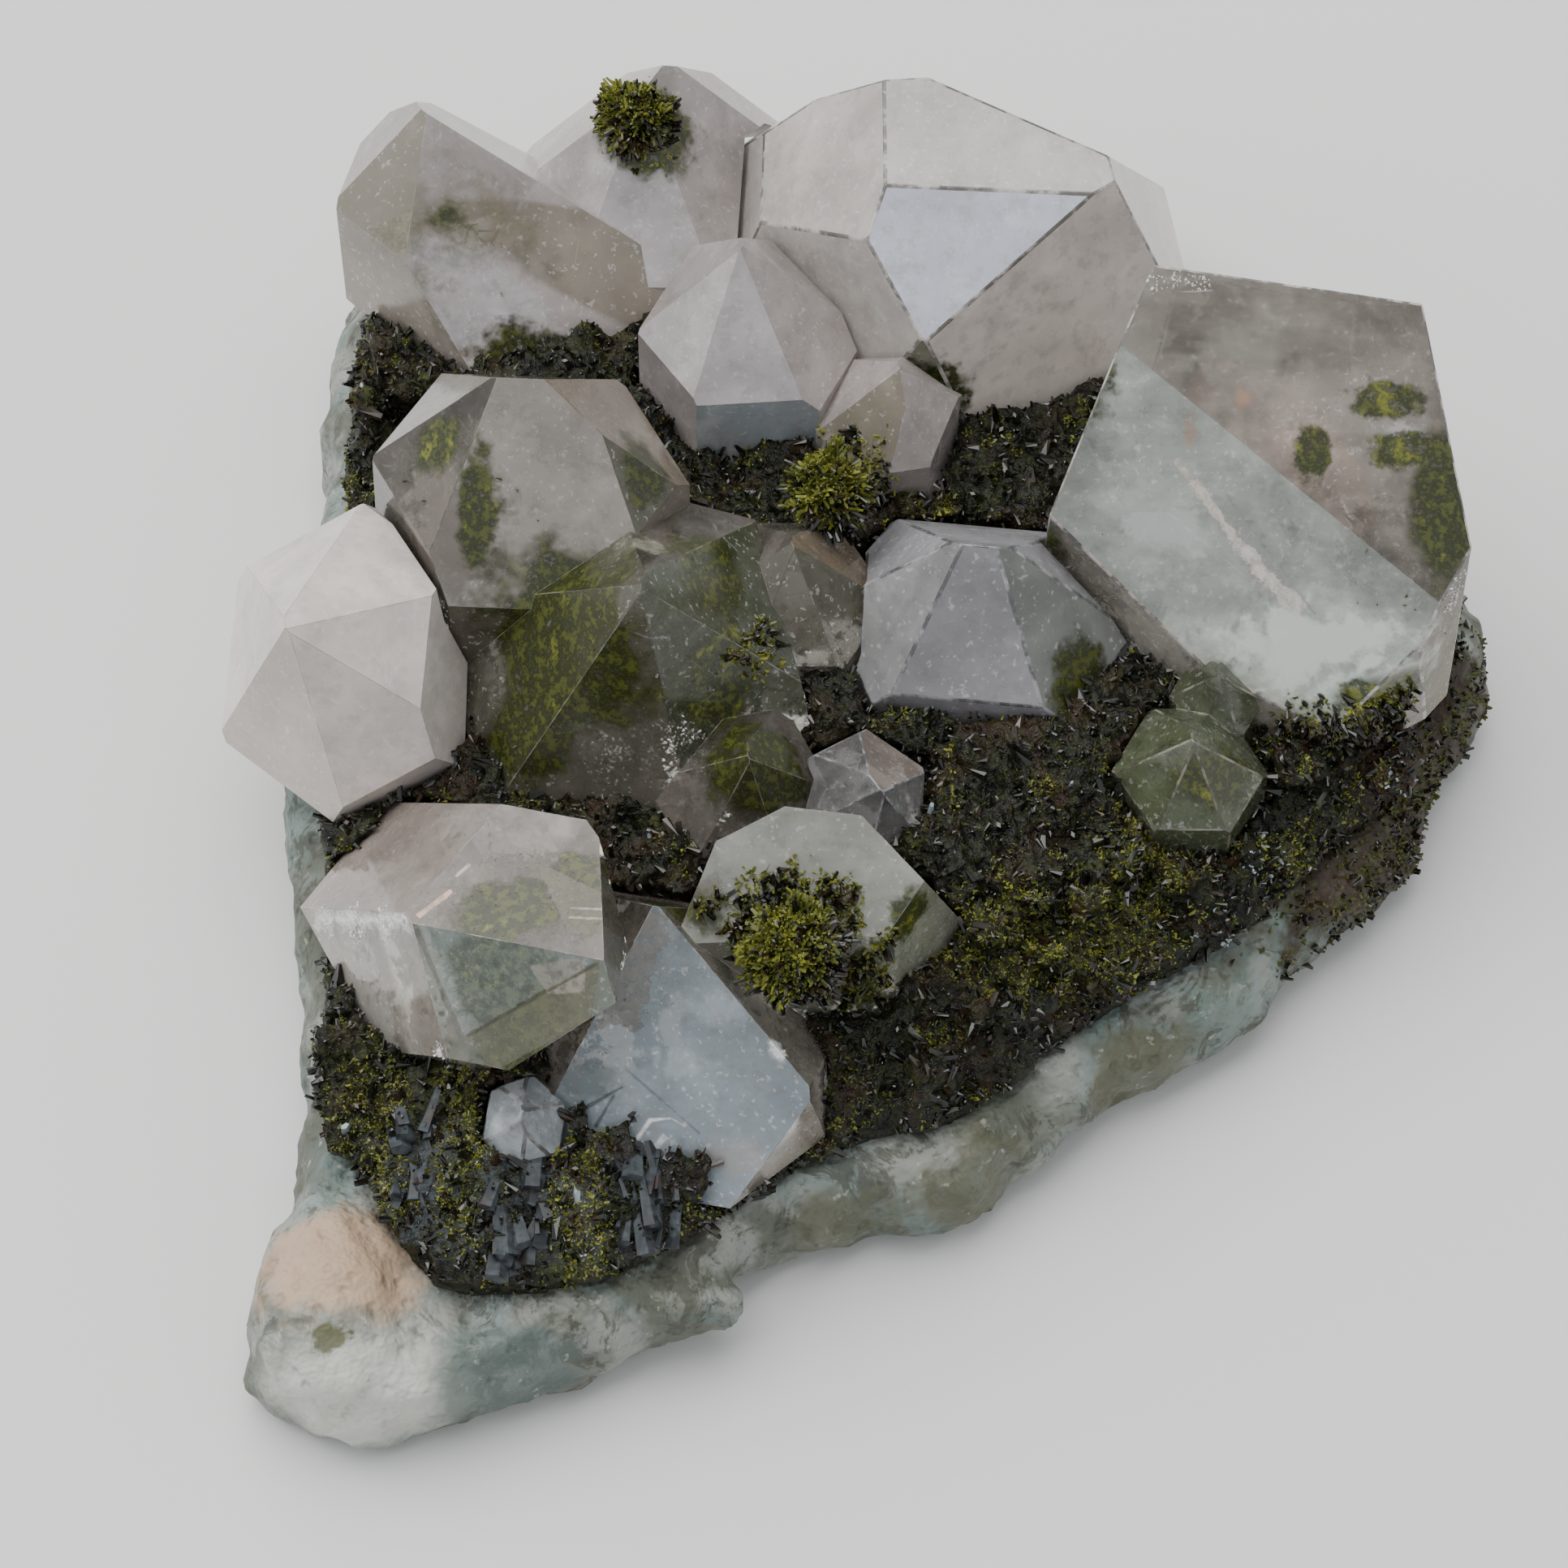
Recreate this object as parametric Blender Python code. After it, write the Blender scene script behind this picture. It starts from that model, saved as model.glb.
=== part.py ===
"""Epidote with quartz: a hand-sized cluster of quartz crystals in an epidote crust on its rock.

The specimen lies on a flat cut under its rock, and +Z is up. The origin is in the middle of
that cut. Sizes below are in millimetres and angles in degrees, and MM turns them into metres.
"""
import math
import random
from itertools import combinations

import bmesh
import bpy
import numpy as np
from mathutils import Matrix, Vector, noise

MM = 0.001
GAP = 0.3
SEED = 7

# The rock: its outline where it is widest, counterclockwise from the front left lobe.
ROCK_OUTLINE = (
    (-21.8, -35.6), (-17.4, -35.7), (-11.6, -33.7), (-6.2, -31.3), (-1.4, -27.2),
    (4.6, -25.4), (8.0, -25.2), (11.0, -22.4), (15.0, -19.0), (21.0, -15.6),
    (24.6, -11.4), (29.5, -6.6), (31.8, -1.2), (34.3, 2.8), (33.4, 7.5),
    (29.5, 14.0), (23.0, 20.5), (17.0, 28.0), (6.0, 32.5), (-6.0, 33.5),
    (-16.0, 31.0), (-21.8, 25.0), (-22.8, 15.0), (-23.2, 6.0), (-24.0, -2.0),
    (-23.2, -9.0), (-22.6, -16.0), (-22.4, -23.0), (-23.6, -28.5), (-24.8, -32.6),
)
ROCK_CENTRE = (3.0, -1.0)
ROCK_SPOKES = 132
ROCK_TOP = 6.0
# Each ring of the rock: how far it stands in from the outline, and its height.
ROCK_RINGS = ((1.6, 0.0), (0.5, 0.9), (0.0, 2.4), (0.25, 3.9), (0.8, 5.1), (1.9, ROCK_TOP))
SCALLOP = 0.35
SCALLOP_WAVES = 44
# Bare lumps of the rock: centre and half sizes.
ROCK_LUMPS = (
    ((-20.6, -30.2, 4.2), (4.0, 5.6, 4.0)),
    ((-13.5, -32.0, 3.4), (4.2, 1.9, 2.6)),
    ((-5.6, -29.4, 3.6), (4.0, 1.8, 2.4)),
    ((5.6, -23.6, 3.4), (3.6, 1.6, 2.5)),
    ((15.4, -16.6, 3.6), (3.4, 1.8, 2.4)),
    ((25.0, -8.6, 3.8), (3.2, 1.8, 2.3)),
    ((31.2, 3.6, 4.4), (2.6, 3.4, 3.0)),
)

# The crust: its own outline on the rock, and its thickness by the distance in from there.
CRUST_OUTLINE = (
    (-21.4, -21.0), (-18.9, -25.4), (-15.8, -30.2), (-10.4, -30.4), (-5.2, -28.4),
    (-1.0, -25.2), (4.6, -22.4), (7.6, -22.0), (10.8, -19.4), (15.2, -16.0),
    (20.4, -12.6), (24.6, -8.6), (28.6, -4.4), (30.4, 0.0), (32.4, 4.0),
    (31.4, 7.8), (27.8, 13.4), (21.6, 19.6), (15.6, 26.4), (5.8, 30.8),
    (-5.8, 31.8), (-14.8, 29.4), (-20.2, 23.8), (-21.2, 15.0), (-21.6, 6.0),
    (-22.4, -2.0), (-21.6, -9.0), (-21.4, -16.0),
)
CRUST_SPOKES = 120
CRUST_RINGS = ((0.0, 0.5), (0.35, 1.5), (1.6, 2.3), (4.0, 3.3), (7.5, 4.3), (12.0, 5.0))
CRUST_MIDDLE = (0.62, 0.3)
CRUST_MIDDLE_THICKNESS = 5.2
SOCKET_FLOOR = 7.6

# Quartz: the normals of the end faces stand at this angle to the long axis.
END_SLOPE = 51.8
NO_FACE = None

# Epidote: the blades on the front slope, the short prisms elsewhere, and the sprays.
SLOPE_BLADES = 15
RIGHT_PRISMS = 26
BACK_PRISMS = 16
SPRAYS = {
    "epidote_spray_front": ((0.5, -17.6, 15.6), (-85, 55), 3.3, 18),
    "epidote_spray_back": ((2.2, 7.6, 14.6), (-80, 50), 2.4, 10),
    "epidote_spray_top": ((-7.2, 27.6, 17.0), (-80, 60), 2.2, 9),
}

COLOURS = {
    "matrix_rock": (0.62, 0.64, 0.58),
    "epidote": (0.07, 0.085, 0.02),
    "quartz": (0.60, 0.56, 0.53),
}


def direction(azimuth, elevation):
    """The unit vector at a compass azimuth from +X and an elevation above the horizon."""
    a, e = math.radians(azimuth), math.radians(elevation)
    return Vector((math.cos(e) * math.cos(a), math.cos(e) * math.sin(a), math.sin(e)))


def facets(chips, root=SOCKET_FLOOR):
    """A crystal given by single flat faces: azimuth and elevation of each, and a point on it."""
    faces = [(Vector((0, 0, root)), Vector((0, 0, -1)))]
    for azimuth, elevation, point in chips:
        faces.append((Vector(point), direction(azimuth, elevation)))
    return faces


def quartz(tip, lean, turn, sides, drops, chips=(), root=SOCKET_FLOOR):
    """One quartz crystal as the list of its flat faces, each a point on it and its normal.

    tip is where the end faces would meet, and lean is the azimuth that the long axis falls
    towards and by how much. Faces stand at turn and every 60 degrees on: sides are the
    distances of the prism faces from the axis, and drops how far each end face is lowered
    from the tip, where NO_FACE leaves one out. chips are further faces, as in facets. root
    is the height at which the crystal ends below.
    """
    tip = Vector(tip)
    axis = direction(lean[0], 90 - lean[1])
    frame = Vector((0, 0, 1)).rotation_difference(axis)
    faces = facets(chips, root)
    for step, (side, drop) in enumerate(zip(sides, drops)):
        out = frame @ direction(turn + 60 * step, 0)
        faces.append((tip + side * out, out))
        if drop is not NO_FACE:
            faces.append((tip - drop * axis, frame @ direction(turn + 60 * step, 90 - END_SLOPE)))
    return faces


X = NO_FACE
CRYSTALS = {
    "right_tall": quartz(
        (22.7, 11.6, 27.8), (80, 5.5), -100, (12.6, 13, 5.6, 5, 9, 13), (0, X, X, 1.5, X, X),
        chips=((80, 48, (22.7, 11.6, 27.8)), (151, 3, (12.4, 4.4, 20)), (-127, 0, (12.2, 4.8, 19)),
               (-112, 0, (19.5, -1.0, 15)), (-60, 0, (26.1, -3.4, 13)),
               (-105, 37, (22.2, 5.1, 21)))),
    "back_right": facets((
        (-85, 55, (4.8, 20.7, 21)), (-74, 77, (4.8, 20.7, 21)), (-60, 18, (13.8, 20.1, 20.3)),
        (-168, 42, (4.8, 20.7, 21)), (-138, 12, (4.8, 17.3, 18.7)), (95, 25, (8.3, 26.7, 21.4)),
        (10, 20, (17.3, 20, 17)), (62, 32, (14.6, 24.3, 19)), (-178, 15, (-1.5, 25, 14)),
        (130, 30, (2.5, 28, 19)), (-110, 2, (8, 14, 10)))),
    "back_middle": quartz(
        (-2.0, 18.5, 20.5), (90, 6), -86, (5.2, 5.5, 5.5, 6, 4, 4.8), (0, .5, 1, .5, 1, .2)),
    "back_pink": quartz(
        (5.5, 12.9, 18.0), (-90, 0), -80, (3.5, 2.5, 3.5, 3.5, 3.5, 3.5), (0, 1, 1, .5, 1, 1)),
    "back_left": quartz(
        (-17.3, 26.6, 20.0), (100, 7), -75, (15, 14, 8, 3, 4, 4.5), (0, X, 1, 0, .5, .3)),
    "back_lobe": quartz(
        (-6.1, 29.2, 20.2), (90, 6), -90, (7.2, 7.4, 7.4, 3.6, 7.4, 7.4), (0, 1.5, .5, 1, 1.5, 0)),
    "left_pink": quartz(
        (-19.0, 11.5, 18.0), (180, 4), -90, (5, 5, 5, 5, 3.2, 3.2), (0, .3, .6, 0, .3, .2)),
    "left_white": quartz(
        (-23.0, -3.0, 20.0), (-134, 30), -70, (6.6, 4.6, 5.8, 6.0, 6.9, 7.5), (0, .3, .6, .2, .4, .2)),
    "middle_left": quartz(
        (-12.2, 7.9, 24.2), (80, 4), -92, (7, 7.2, 6.5, 5, 6, 6.2), (0, -3.2, -1, .4, -1, -1)),
    "middle_green": quartz(
        (-6.4, -2.0, 22.0), (-90, 14), -105, (8.4, 8.0, 6.4, 7.0, 9.2, 9.2), (0, .3, .6, 0, .3, .2)),
    "middle_brown": quartz(
        (-1.5, -7.5, 16.0), (-70, 15), -90, (4.2, 3.8, 3.6, 3.6, 3.6, 4), (0, .3, .6, 0, .3, .2)),
    "middle_milky": quartz(
        (0.5, 3.5, 17.0), (-90, 0), -90, (4, 4, 4, 4, 4, 4), (0, .3, .6, 0, .3, .2)),
    "small_clear": quartz(
        (4.6, -8.6, 14.8), (-60, 25), -60, (2.9, 2.8, 2.8, 2.8, 2.8, 2.8), (0, .3, .6, 0, .3, .2)),
    "grey_frosted": quartz(
        (9.3, 2.6, 19.8), (-90, 0), -96, (5.2, 6.4, 6.6, 5.0, 6.6, 6.6), (1, .6, .6, 2, .3, .2),
        chips=((-78, 64, (9.5, 0, 17.6)),)),
    "front_left": quartz(
        (-8.0, -20.6, 20.0), (-46, 39), 23, (2.8, 6.3, 6.0, 5.6, 5.5, 1.7), (0, X, 0, 0, X, X)),
    "front_blue": quartz(
        (-6.0, -16.0, 17.5), (80, 7), -100, (9.4, 12, 9, 5, 5, 6.5), (0, X, 0, .6, X, .3),
        chips=((-5, 10, (1.1, -22.3, 12.6)), (-50, 4, (1.0, -23.5, 11.3)))),
    "front_pale": facets((
        (-80, 55, (3.1, -12.2, 18.4)), (-41, 5, (5.6, -15.5, 15.9)), (40, 20, (6.3, -14.5, 16.5)),
        (85, 15, (3.1, -12.2, 18.4)), (-85, 8, (3.5, -16.8, 15.2)), (160, 10, (-3.5, -13.5, 16)),
        (120, 25, (-1.0, -12.2, 18)))),
    "small_front": quartz(
        (-11.8, -24.6, 12.8), (-90, 20), -70, (1.9, 1.8, 1.9, 1.9, 1.8, 1.9), (0, .6, .3, 0, .6, .3)),
    "small_green": quartz(
        (19.0, -6.2, 15.4), (-90, 5), -90, (3.1, 3.1, 3.3, 3.3, 3.3, 3.1), (0, .3, .6, 0, .3, .2)),
    "small_grey": quartz(
        (20.4, -2.2, 14.5), (-90, 5), -90, (2, 2, 2, 2, 2, 2), (0, .3, .6, 0, .3, .2)),
}
# Crystals that have grown together are one piece. A later piece gives way to an earlier one.
QUARTZ_PIECES = {
    "quartz_right": ("right_tall",),
    "quartz_front": ("front_left", "front_blue", "front_pale"),
    "quartz_middle": ("middle_green", "middle_left", "middle_brown", "middle_milky"),
    "quartz_left": ("left_white",),
    "quartz_gray": ("grey_frosted",),
    "quartz_back_right": ("back_right",),
    "quartz_back": ("back_middle", "back_pink", "back_left", "back_lobe", "left_pink"),
    "quartz_small_front": ("small_front",),
    "quartz_small_clear": ("small_clear",),
    "quartz_small_right": ("small_green", "small_grey"),
}


def clear_scene():
    """Removes what a new file starts with."""
    for obj in list(bpy.data.objects):
        bpy.data.objects.remove(obj)


def add_object(name, bm):
    """Puts a bmesh in millimetres into the scene as an object in metres."""
    bmesh.ops.recalc_face_normals(bm, faces=bm.faces[:])
    bmesh.ops.transform(bm, matrix=Matrix.Scale(MM, 4), verts=bm.verts[:])
    mesh = bpy.data.meshes.new(name)
    bm.to_mesh(mesh)
    bm.free()
    obj = bpy.data.objects.new(name, mesh)
    bpy.context.scene.collection.objects.link(obj)
    return obj


def cut_block(faces, grow=0.0):
    """The convex block that flat faces bound, each moved outwards by grow."""
    normals = np.array([normal for _, normal in faces])
    reach = np.array([normal.dot(point) + grow for point, normal in faces])
    corners = []
    for three in combinations(range(len(faces)), 3):
        chosen = normals[list(three)]
        if abs(np.linalg.det(chosen)) < 1e-4:
            continue
        corner = np.linalg.solve(chosen, reach[list(three)])
        if np.all(normals @ corner < reach + 1e-6):
            corners.append(corner)
    bm = bmesh.new()
    for corner in corners:
        bm.verts.new(corner)
    bmesh.ops.remove_doubles(bm, verts=bm.verts[:], dist=0.02)
    bmesh.ops.convex_hull(bm, input=bm.verts[:])
    bmesh.ops.dissolve_limit(bm, angle_limit=math.radians(0.5), verts=bm.verts[:], edges=bm.edges[:])
    return bm


def blade(start, end, width, thickness, roll=0.0):
    """A long flat-faced epidote prism between two points, as the list of its faces."""
    start, end = Vector(start), Vector(end)
    axis = (end - start).normalized()
    across = axis.cross(Vector((0, 0, 1)) if abs(axis.z) < 0.9 else Vector((1, 0, 0))).normalized()
    across.rotate(Matrix.Rotation(math.radians(roll), 3, axis))
    up = axis.cross(across)
    bevel = (across + up).normalized()
    faces = [(start, -axis)]
    for side in (1, -1):
        faces.append((start + side * across * width / 2, side * across))
        faces.append((start + side * up * thickness / 2, side * up))
        faces.append((start + side * bevel * (width + thickness) * 0.29, side * bevel))
        faces.append((end, (axis + side * across * 0.75).normalized()))
    return faces


def joined(solids):
    """One bmesh of several."""
    whole = bmesh.new()
    for bm in solids:
        mesh = bpy.data.meshes.new("joined")
        bm.to_mesh(mesh)
        bm.free()
        whole.from_mesh(mesh)
        bpy.data.meshes.remove(mesh)
    return whole


def boolean(target, tool, operation, crossing=False):
    """Adds an exact Boolean to target. The tool is hidden, and is not part of the model."""
    tool.hide_render = True
    tool.display_type = "WIRE"
    modifier = target.modifiers.new(operation.lower(), "BOOLEAN")
    modifier.operation = operation
    modifier.object = tool
    modifier.solver = "EXACT"
    modifier.use_self = crossing


def finish(obj, material):
    """Applies the Booleans, keeps the largest body, and removes the tools that were used."""
    tools = [modifier.object for modifier in obj.modifiers]
    evaluated = obj.evaluated_get(bpy.context.evaluated_depsgraph_get())
    bm = bmesh.new()
    bm.from_mesh(evaluated.to_mesh())
    obj.modifiers.clear()
    bmesh.ops.remove_doubles(bm, verts=bm.verts[:], dist=0.002 * MM)
    bmesh.ops.dissolve_limit(bm, angle_limit=math.radians(0.3), verts=bm.verts[:], edges=bm.edges[:])
    bmesh.ops.triangulate(bm, faces=bm.faces[:])
    bodies = connected(bm)
    for body in sorted(bodies, key=len)[:-1]:
        bmesh.ops.delete(bm, geom=list(body), context="VERTS")
    bm.to_mesh(obj.data)
    bm.free()
    obj.data.materials.clear()
    obj.data.materials.append(material)
    for tool in tools:
        if tool.name in bpy.data.objects:
            bpy.data.objects.remove(tool)


def connected(bm):
    """The sets of vertices that hang together."""
    left = set(bm.verts)
    bodies = []
    while left:
        body = set()
        front = [left.pop()]
        while front:
            vert = front.pop()
            body.add(vert)
            for edge in vert.link_edges:
                other = edge.other_vert(vert)
                if other in left:
                    left.remove(other)
                    front.append(other)
        bodies.append(body)
    return bodies


def radius_by_azimuth(outline):
    """Distance of a smooth closed curve from the rock's centre, as a function of azimuth."""
    points = [Vector(point) - Vector(ROCK_CENTRE) for point in outline]
    curve = []
    for i, b in enumerate(points):
        a, c, d = points[i - 1], points[(i + 1) % len(points)], points[(i + 2) % len(points)]
        for step in range(8):
            t = step / 8
            curve.append(0.5 * (2 * b + (c - a) * t + (2 * a - 5 * b + 4 * c - d) * t ** 2
                                + (3 * b - 3 * c + d - a) * t ** 3))
    azimuths = np.array([math.atan2(p.y, p.x) for p in curve])
    radii = np.array([p.length for p in curve])
    return lambda azimuth: float(np.interp(azimuth, azimuths, radii, period=2 * math.pi))


def ring_mesh(rings):
    """A closed mesh of rings of points, each joined to the next and the first to the last."""
    bm = bmesh.new()
    loops = [[bm.verts.new(point) for point in ring] for ring in rings]
    count = len(loops[0])
    for lower, upper in zip(loops, loops[1:]):
        for i in range(count):
            j = (i + 1) % count
            bm.faces.new((lower[i], lower[j], upper[j], upper[i]))
    bm.faces.new(reversed(loops[0]))
    bm.faces.new(loops[-1])
    bmesh.ops.triangulate(bm, faces=bm.faces[:])
    return bm


def polar(azimuth, radius, height):
    """A point around the rock's centre."""
    return (ROCK_CENTRE[0] + radius * math.cos(azimuth), ROCK_CENTRE[1] + radius * math.sin(azimuth), height)


def lump(centre, half, grow=0.0):
    """A rounded lump of rock with flat spots, its half sizes grown by grow."""
    bm = bmesh.new()
    bmesh.ops.create_icosphere(bm, subdivisions=2, radius=1)
    for vert in bm.verts:
        swell = 1 + 0.16 * noise.noise(vert.co * 1.7 + Vector(centre))
        vert.co = Vector(centre) + Vector([c * swell * (h + grow) for c, h in zip(vert.co, half)])
    bmesh.ops.bisect_plane(bm, geom=bm.verts[:] + bm.edges[:] + bm.faces[:], dist=1e-5,
                           plane_co=(0, 0, 0.6), plane_no=(0, 0, -1), clear_outer=True)
    bmesh.ops.holes_fill(bm, edges=bm.edges[:], sides=0)
    return bm


def make_rock(rock_radius):
    """The rock: a low slab with a scalloped rim, flat where it was cut below."""
    rings = []
    for level, (inset, height) in enumerate(ROCK_RINGS):
        ring = []
        for i in range(ROCK_SPOKES):
            azimuth = 2 * math.pi * i / ROCK_SPOKES
            radius = rock_radius(azimuth) - inset
            place = Vector(polar(azimuth, radius, height))
            if level == len(ROCK_RINGS) - 1:
                ring.append(place)
                continue
            wave = SCALLOP * math.sin(SCALLOP_WAVES * azimuth + height) * (0.6 + noise.noise(place * 0.12))
            radius += wave + 0.5 * noise.noise(place * 0.35)
            ring.append(polar(azimuth, radius, height))
        rings.append(ring)
    rock = add_object("matrix_rock", ring_mesh(rings))
    for centre, half in ROCK_LUMPS:
        boolean(rock, add_object("lump", lump(centre, half)), "UNION")
    return rock


def make_crust(crust_radius, rng):
    """The epidote crust: a lumpy blanket on the rock, with blades and short prisms grown from it."""
    spokes = [2 * math.pi * i / CRUST_SPOKES for i in range(CRUST_SPOKES)]
    floor = ROCK_TOP + GAP
    rings = [[polar(a, crust_radius(a), floor) for a in spokes]]
    levels = [(1, inset, thickness) for inset, thickness in CRUST_RINGS]
    levels += [(share, 12.0 * share, CRUST_MIDDLE_THICKNESS) for share in CRUST_MIDDLE]
    for share, inset, thickness in levels:
        ring = []
        for a in spokes:
            radius = crust_radius(a) * share - inset
            place = Vector(polar(a, radius, 0))
            swell = 0.9 * noise.noise(place * 0.22) + 0.5 * noise.noise(place * 0.6)
            rough = rng.uniform(-0.3, 0.3)
            fade = min(1.0, inset / 1.6)
            x, y, z = polar(a, radius + (1 - fade) * rough, floor + thickness + fade * (swell + rough))
            ring.append((x, y, z if share > CRUST_MIDDLE[-1] else floor + thickness))
        rings.append(ring)
    crust = add_object("epidote_crust", ring_mesh(rings))
    boolean(crust, add_object("prisms", joined(crust_prisms(crust_radius, rng))),
            "UNION", crossing=True)
    below = [(Vector((0, 0, floor)), Vector((0, 0, 1))), (Vector((0, 0, 0)), Vector((0, 0, -1)))]
    below += [(50 * direction(azimuth, 0), direction(azimuth, 0)) for azimuth in (0, 90, 180, 270)]
    boolean(crust, add_object("below", cut_block(below)), "DIFFERENCE")
    return crust


def between(a, b, t):
    """The point at t on the way from a to b."""
    return Vector(a).lerp(Vector(b), t)


def crust_prisms(crust_radius, rng):
    """The blades that lie down the front slope, and the short prisms of the right and the back."""
    prisms = []
    for i in range(SLOPE_BLADES):
        t = i / (SLOPE_BLADES - 1)
        head = between((-20.4, -18.5, 9.4), (-2.6, -24.2, 9.0), t)
        foot = between((-19.4, -24.5, 6.9), (-11.5, -30.2, 6.6), min(1, t / 0.55))
        if t > 0.55:
            foot = between((-11.5, -30.2, 6.6), (-0.4, -25.8, 6.6), (t - 0.55) / 0.45)
        head += Vector((rng.uniform(-0.4, 0.4), rng.uniform(-0.5, 0.5), rng.uniform(-0.3, 0.9)))
        foot += Vector((rng.uniform(-0.5, 0.5), rng.uniform(-0.2, 0.9), rng.uniform(-0.2, 0.4)))
        prisms.append(blade(head, foot, rng.uniform(1.3, 2.1), rng.uniform(1.4, 2.2),
                            rng.uniform(-25, 25)))
    for count, first, last, depth in ((RIGHT_PRISMS, -68, 12, 7.0), (BACK_PRISMS, 15, 175, 1.8)):
        for i in range(count):
            azimuth = math.radians(first + (last - first) * i / (count - 1))
            inset = rng.uniform(0.9, depth)
            level = ROCK_TOP + 1.2 + 0.45 * inset
            place = Vector(polar(azimuth, crust_radius(azimuth) - inset, level))
            lean = direction(math.degrees(azimuth) + rng.uniform(-60, 40), rng.uniform(20, 75))
            prisms.append(blade(place - lean, place + lean * rng.uniform(1.3, 2.8),
                                rng.uniform(0.9, 1.7), rng.uniform(0.8, 1.4), rng.uniform(0, 90)))
    return [cut_block(faces) for faces in prisms]


def make_spray(name, centre, facing, radius, count, rng):
    """A spray of epidote: prisms that stand out all round from a small core."""
    out = direction(*facing)
    core = bmesh.new()
    bmesh.ops.create_icosphere(core, subdivisions=1, radius=radius * 0.62)
    bmesh.ops.translate(core, vec=centre, verts=core.verts[:])
    spray = add_object(name, core)
    needles = []
    for i in range(count):
        lean = Vector([rng.gauss(0, 1) for _ in range(3)]).normalized()
        if lean.dot(out) < -0.1:
            lean -= 2 * lean.dot(out) * out
        tip = Vector(centre) + lean * radius * rng.uniform(0.82, 1.0)
        needles.append(cut_block(blade(Vector(centre) + lean * 0.2, tip, 0.75, 0.6, rng.uniform(0, 90))))
    boolean(spray, add_object("needles", joined(needles)), "UNION", crossing=True)
    return spray


def apart(one, other):
    """Whether two objects' boxes have no place in common."""
    a, b = ([vert.co for vert in obj.data.vertices] for obj in (one, other))
    return any(min(v[k] for v in a) > max(v[k] for v in b) or max(v[k] for v in a) < min(v[k] for v in b)
               for k in range(3))


def give_way(obj, names):
    """Cuts the room of crystals, and the gap around them, out of an object."""
    for name in names:
        room = add_object("room", cut_block(CRYSTALS[name], GAP))
        if apart(obj, room):
            bpy.data.objects.remove(room)
        else:
            boolean(obj, room, "DIFFERENCE")


def make_material(name, colour, roughness):
    """A plain Principled material."""
    material = bpy.data.materials.new(name)
    material.use_nodes = True
    shader = material.node_tree.nodes["Principled BSDF"]
    shader.inputs["Base Color"].default_value = (*colour, 1)
    shader.inputs["Roughness"].default_value = roughness
    return material


def main():
    clear_scene()
    rng = random.Random(SEED)
    stone = make_material("matrix_rock", COLOURS["matrix_rock"], 0.8)
    rock_radius = radius_by_azimuth(ROCK_OUTLINE)
    crust_radius = radius_by_azimuth(CRUST_OUTLINE)
    finish(make_rock(rock_radius), stone)

    crust = make_crust(crust_radius, rng)
    give_way(crust, CRYSTALS)
    for centre, half in ROCK_LUMPS:
        boolean(crust, add_object("room", lump(centre, half, GAP)), "DIFFERENCE")
    finish(crust, make_material("epidote_crust", COLOURS["epidote"], 0.5))

    earlier = []
    for node, names in QUARTZ_PIECES.items():
        piece = add_object(node, cut_block(CRYSTALS[names[0]]))
        for name in names[1:]:
            boolean(piece, add_object("grown", cut_block(CRYSTALS[name])), "UNION")
        for name in earlier:
            boolean(piece, add_object("room", cut_block(CRYSTALS[name], GAP)), "DIFFERENCE")
        finish(piece, make_material(node, COLOURS["quartz"], 0.15))
        earlier += names

    for node, spray in SPRAYS.items():
        piece = make_spray(node, *spray, rng)
        give_way(piece, CRYSTALS)
        finish(piece, make_material(node, COLOURS["epidote"], 0.4))


main()
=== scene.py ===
"""Looks of the epidote with quartz: clear and milky crystals, mossy inclusions, dark crust, pale rock."""
import math

import bmesh
import bpy
import numpy as np
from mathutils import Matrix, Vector, noise
from mathutils.bvhtree import BVHTree


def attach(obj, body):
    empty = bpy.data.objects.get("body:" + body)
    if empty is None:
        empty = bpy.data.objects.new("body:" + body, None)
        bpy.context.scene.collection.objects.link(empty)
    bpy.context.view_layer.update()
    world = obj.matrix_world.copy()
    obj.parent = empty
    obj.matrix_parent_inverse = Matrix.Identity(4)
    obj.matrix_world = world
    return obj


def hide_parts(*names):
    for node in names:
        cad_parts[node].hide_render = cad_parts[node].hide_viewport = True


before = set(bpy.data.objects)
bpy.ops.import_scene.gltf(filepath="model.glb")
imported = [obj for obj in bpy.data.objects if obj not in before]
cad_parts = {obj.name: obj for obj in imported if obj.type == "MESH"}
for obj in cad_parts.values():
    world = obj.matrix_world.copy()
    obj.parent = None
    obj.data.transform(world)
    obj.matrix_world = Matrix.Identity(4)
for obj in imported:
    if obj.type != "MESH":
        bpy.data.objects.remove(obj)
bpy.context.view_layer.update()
MM = 0.001
RNG = np.random.default_rng(11)

# The photograph's view.
ELEVATION = math.radians(60)
AIM = Vector((0, -6, 10.4)) * MM
CAMERA_DISTANCE = 306 * MM
LENS = 150
SENSOR = 36

DARK_EPIDOTE = (0.006, 0.006, 0.004)
BROWN_EPIDOTE = (0.024, 0.012, 0.006)
DEEP_GREEN = (0.022, 0.027, 0.006)
MOSS = (0.070, 0.080, 0.014)
BRIGHT_MOSS = (0.165, 0.175, 0.020)
FLUFF = (0.095, 0.108, 0.012)
BRIGHT_FLUFF = (0.24, 0.25, 0.022)
OLIVE = (0.080, 0.080, 0.020)
BEIGE = (0.44, 0.385, 0.335)
MILK_BLUE = (0.42, 0.49, 0.53)
# Lilac of a face that mirrors the big soft light: a painted reflection.
LILAC_REFLECTION = (0.63, 0.66, 0.76)
WARM_WHITE = (0.77, 0.70, 0.65)
FROST = (0.84, 0.84, 0.83)
# Orange-red for the painted glints on the tall right crystal.
ORANGE_GLINT = (0.70, 0.24, 0.10)

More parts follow.
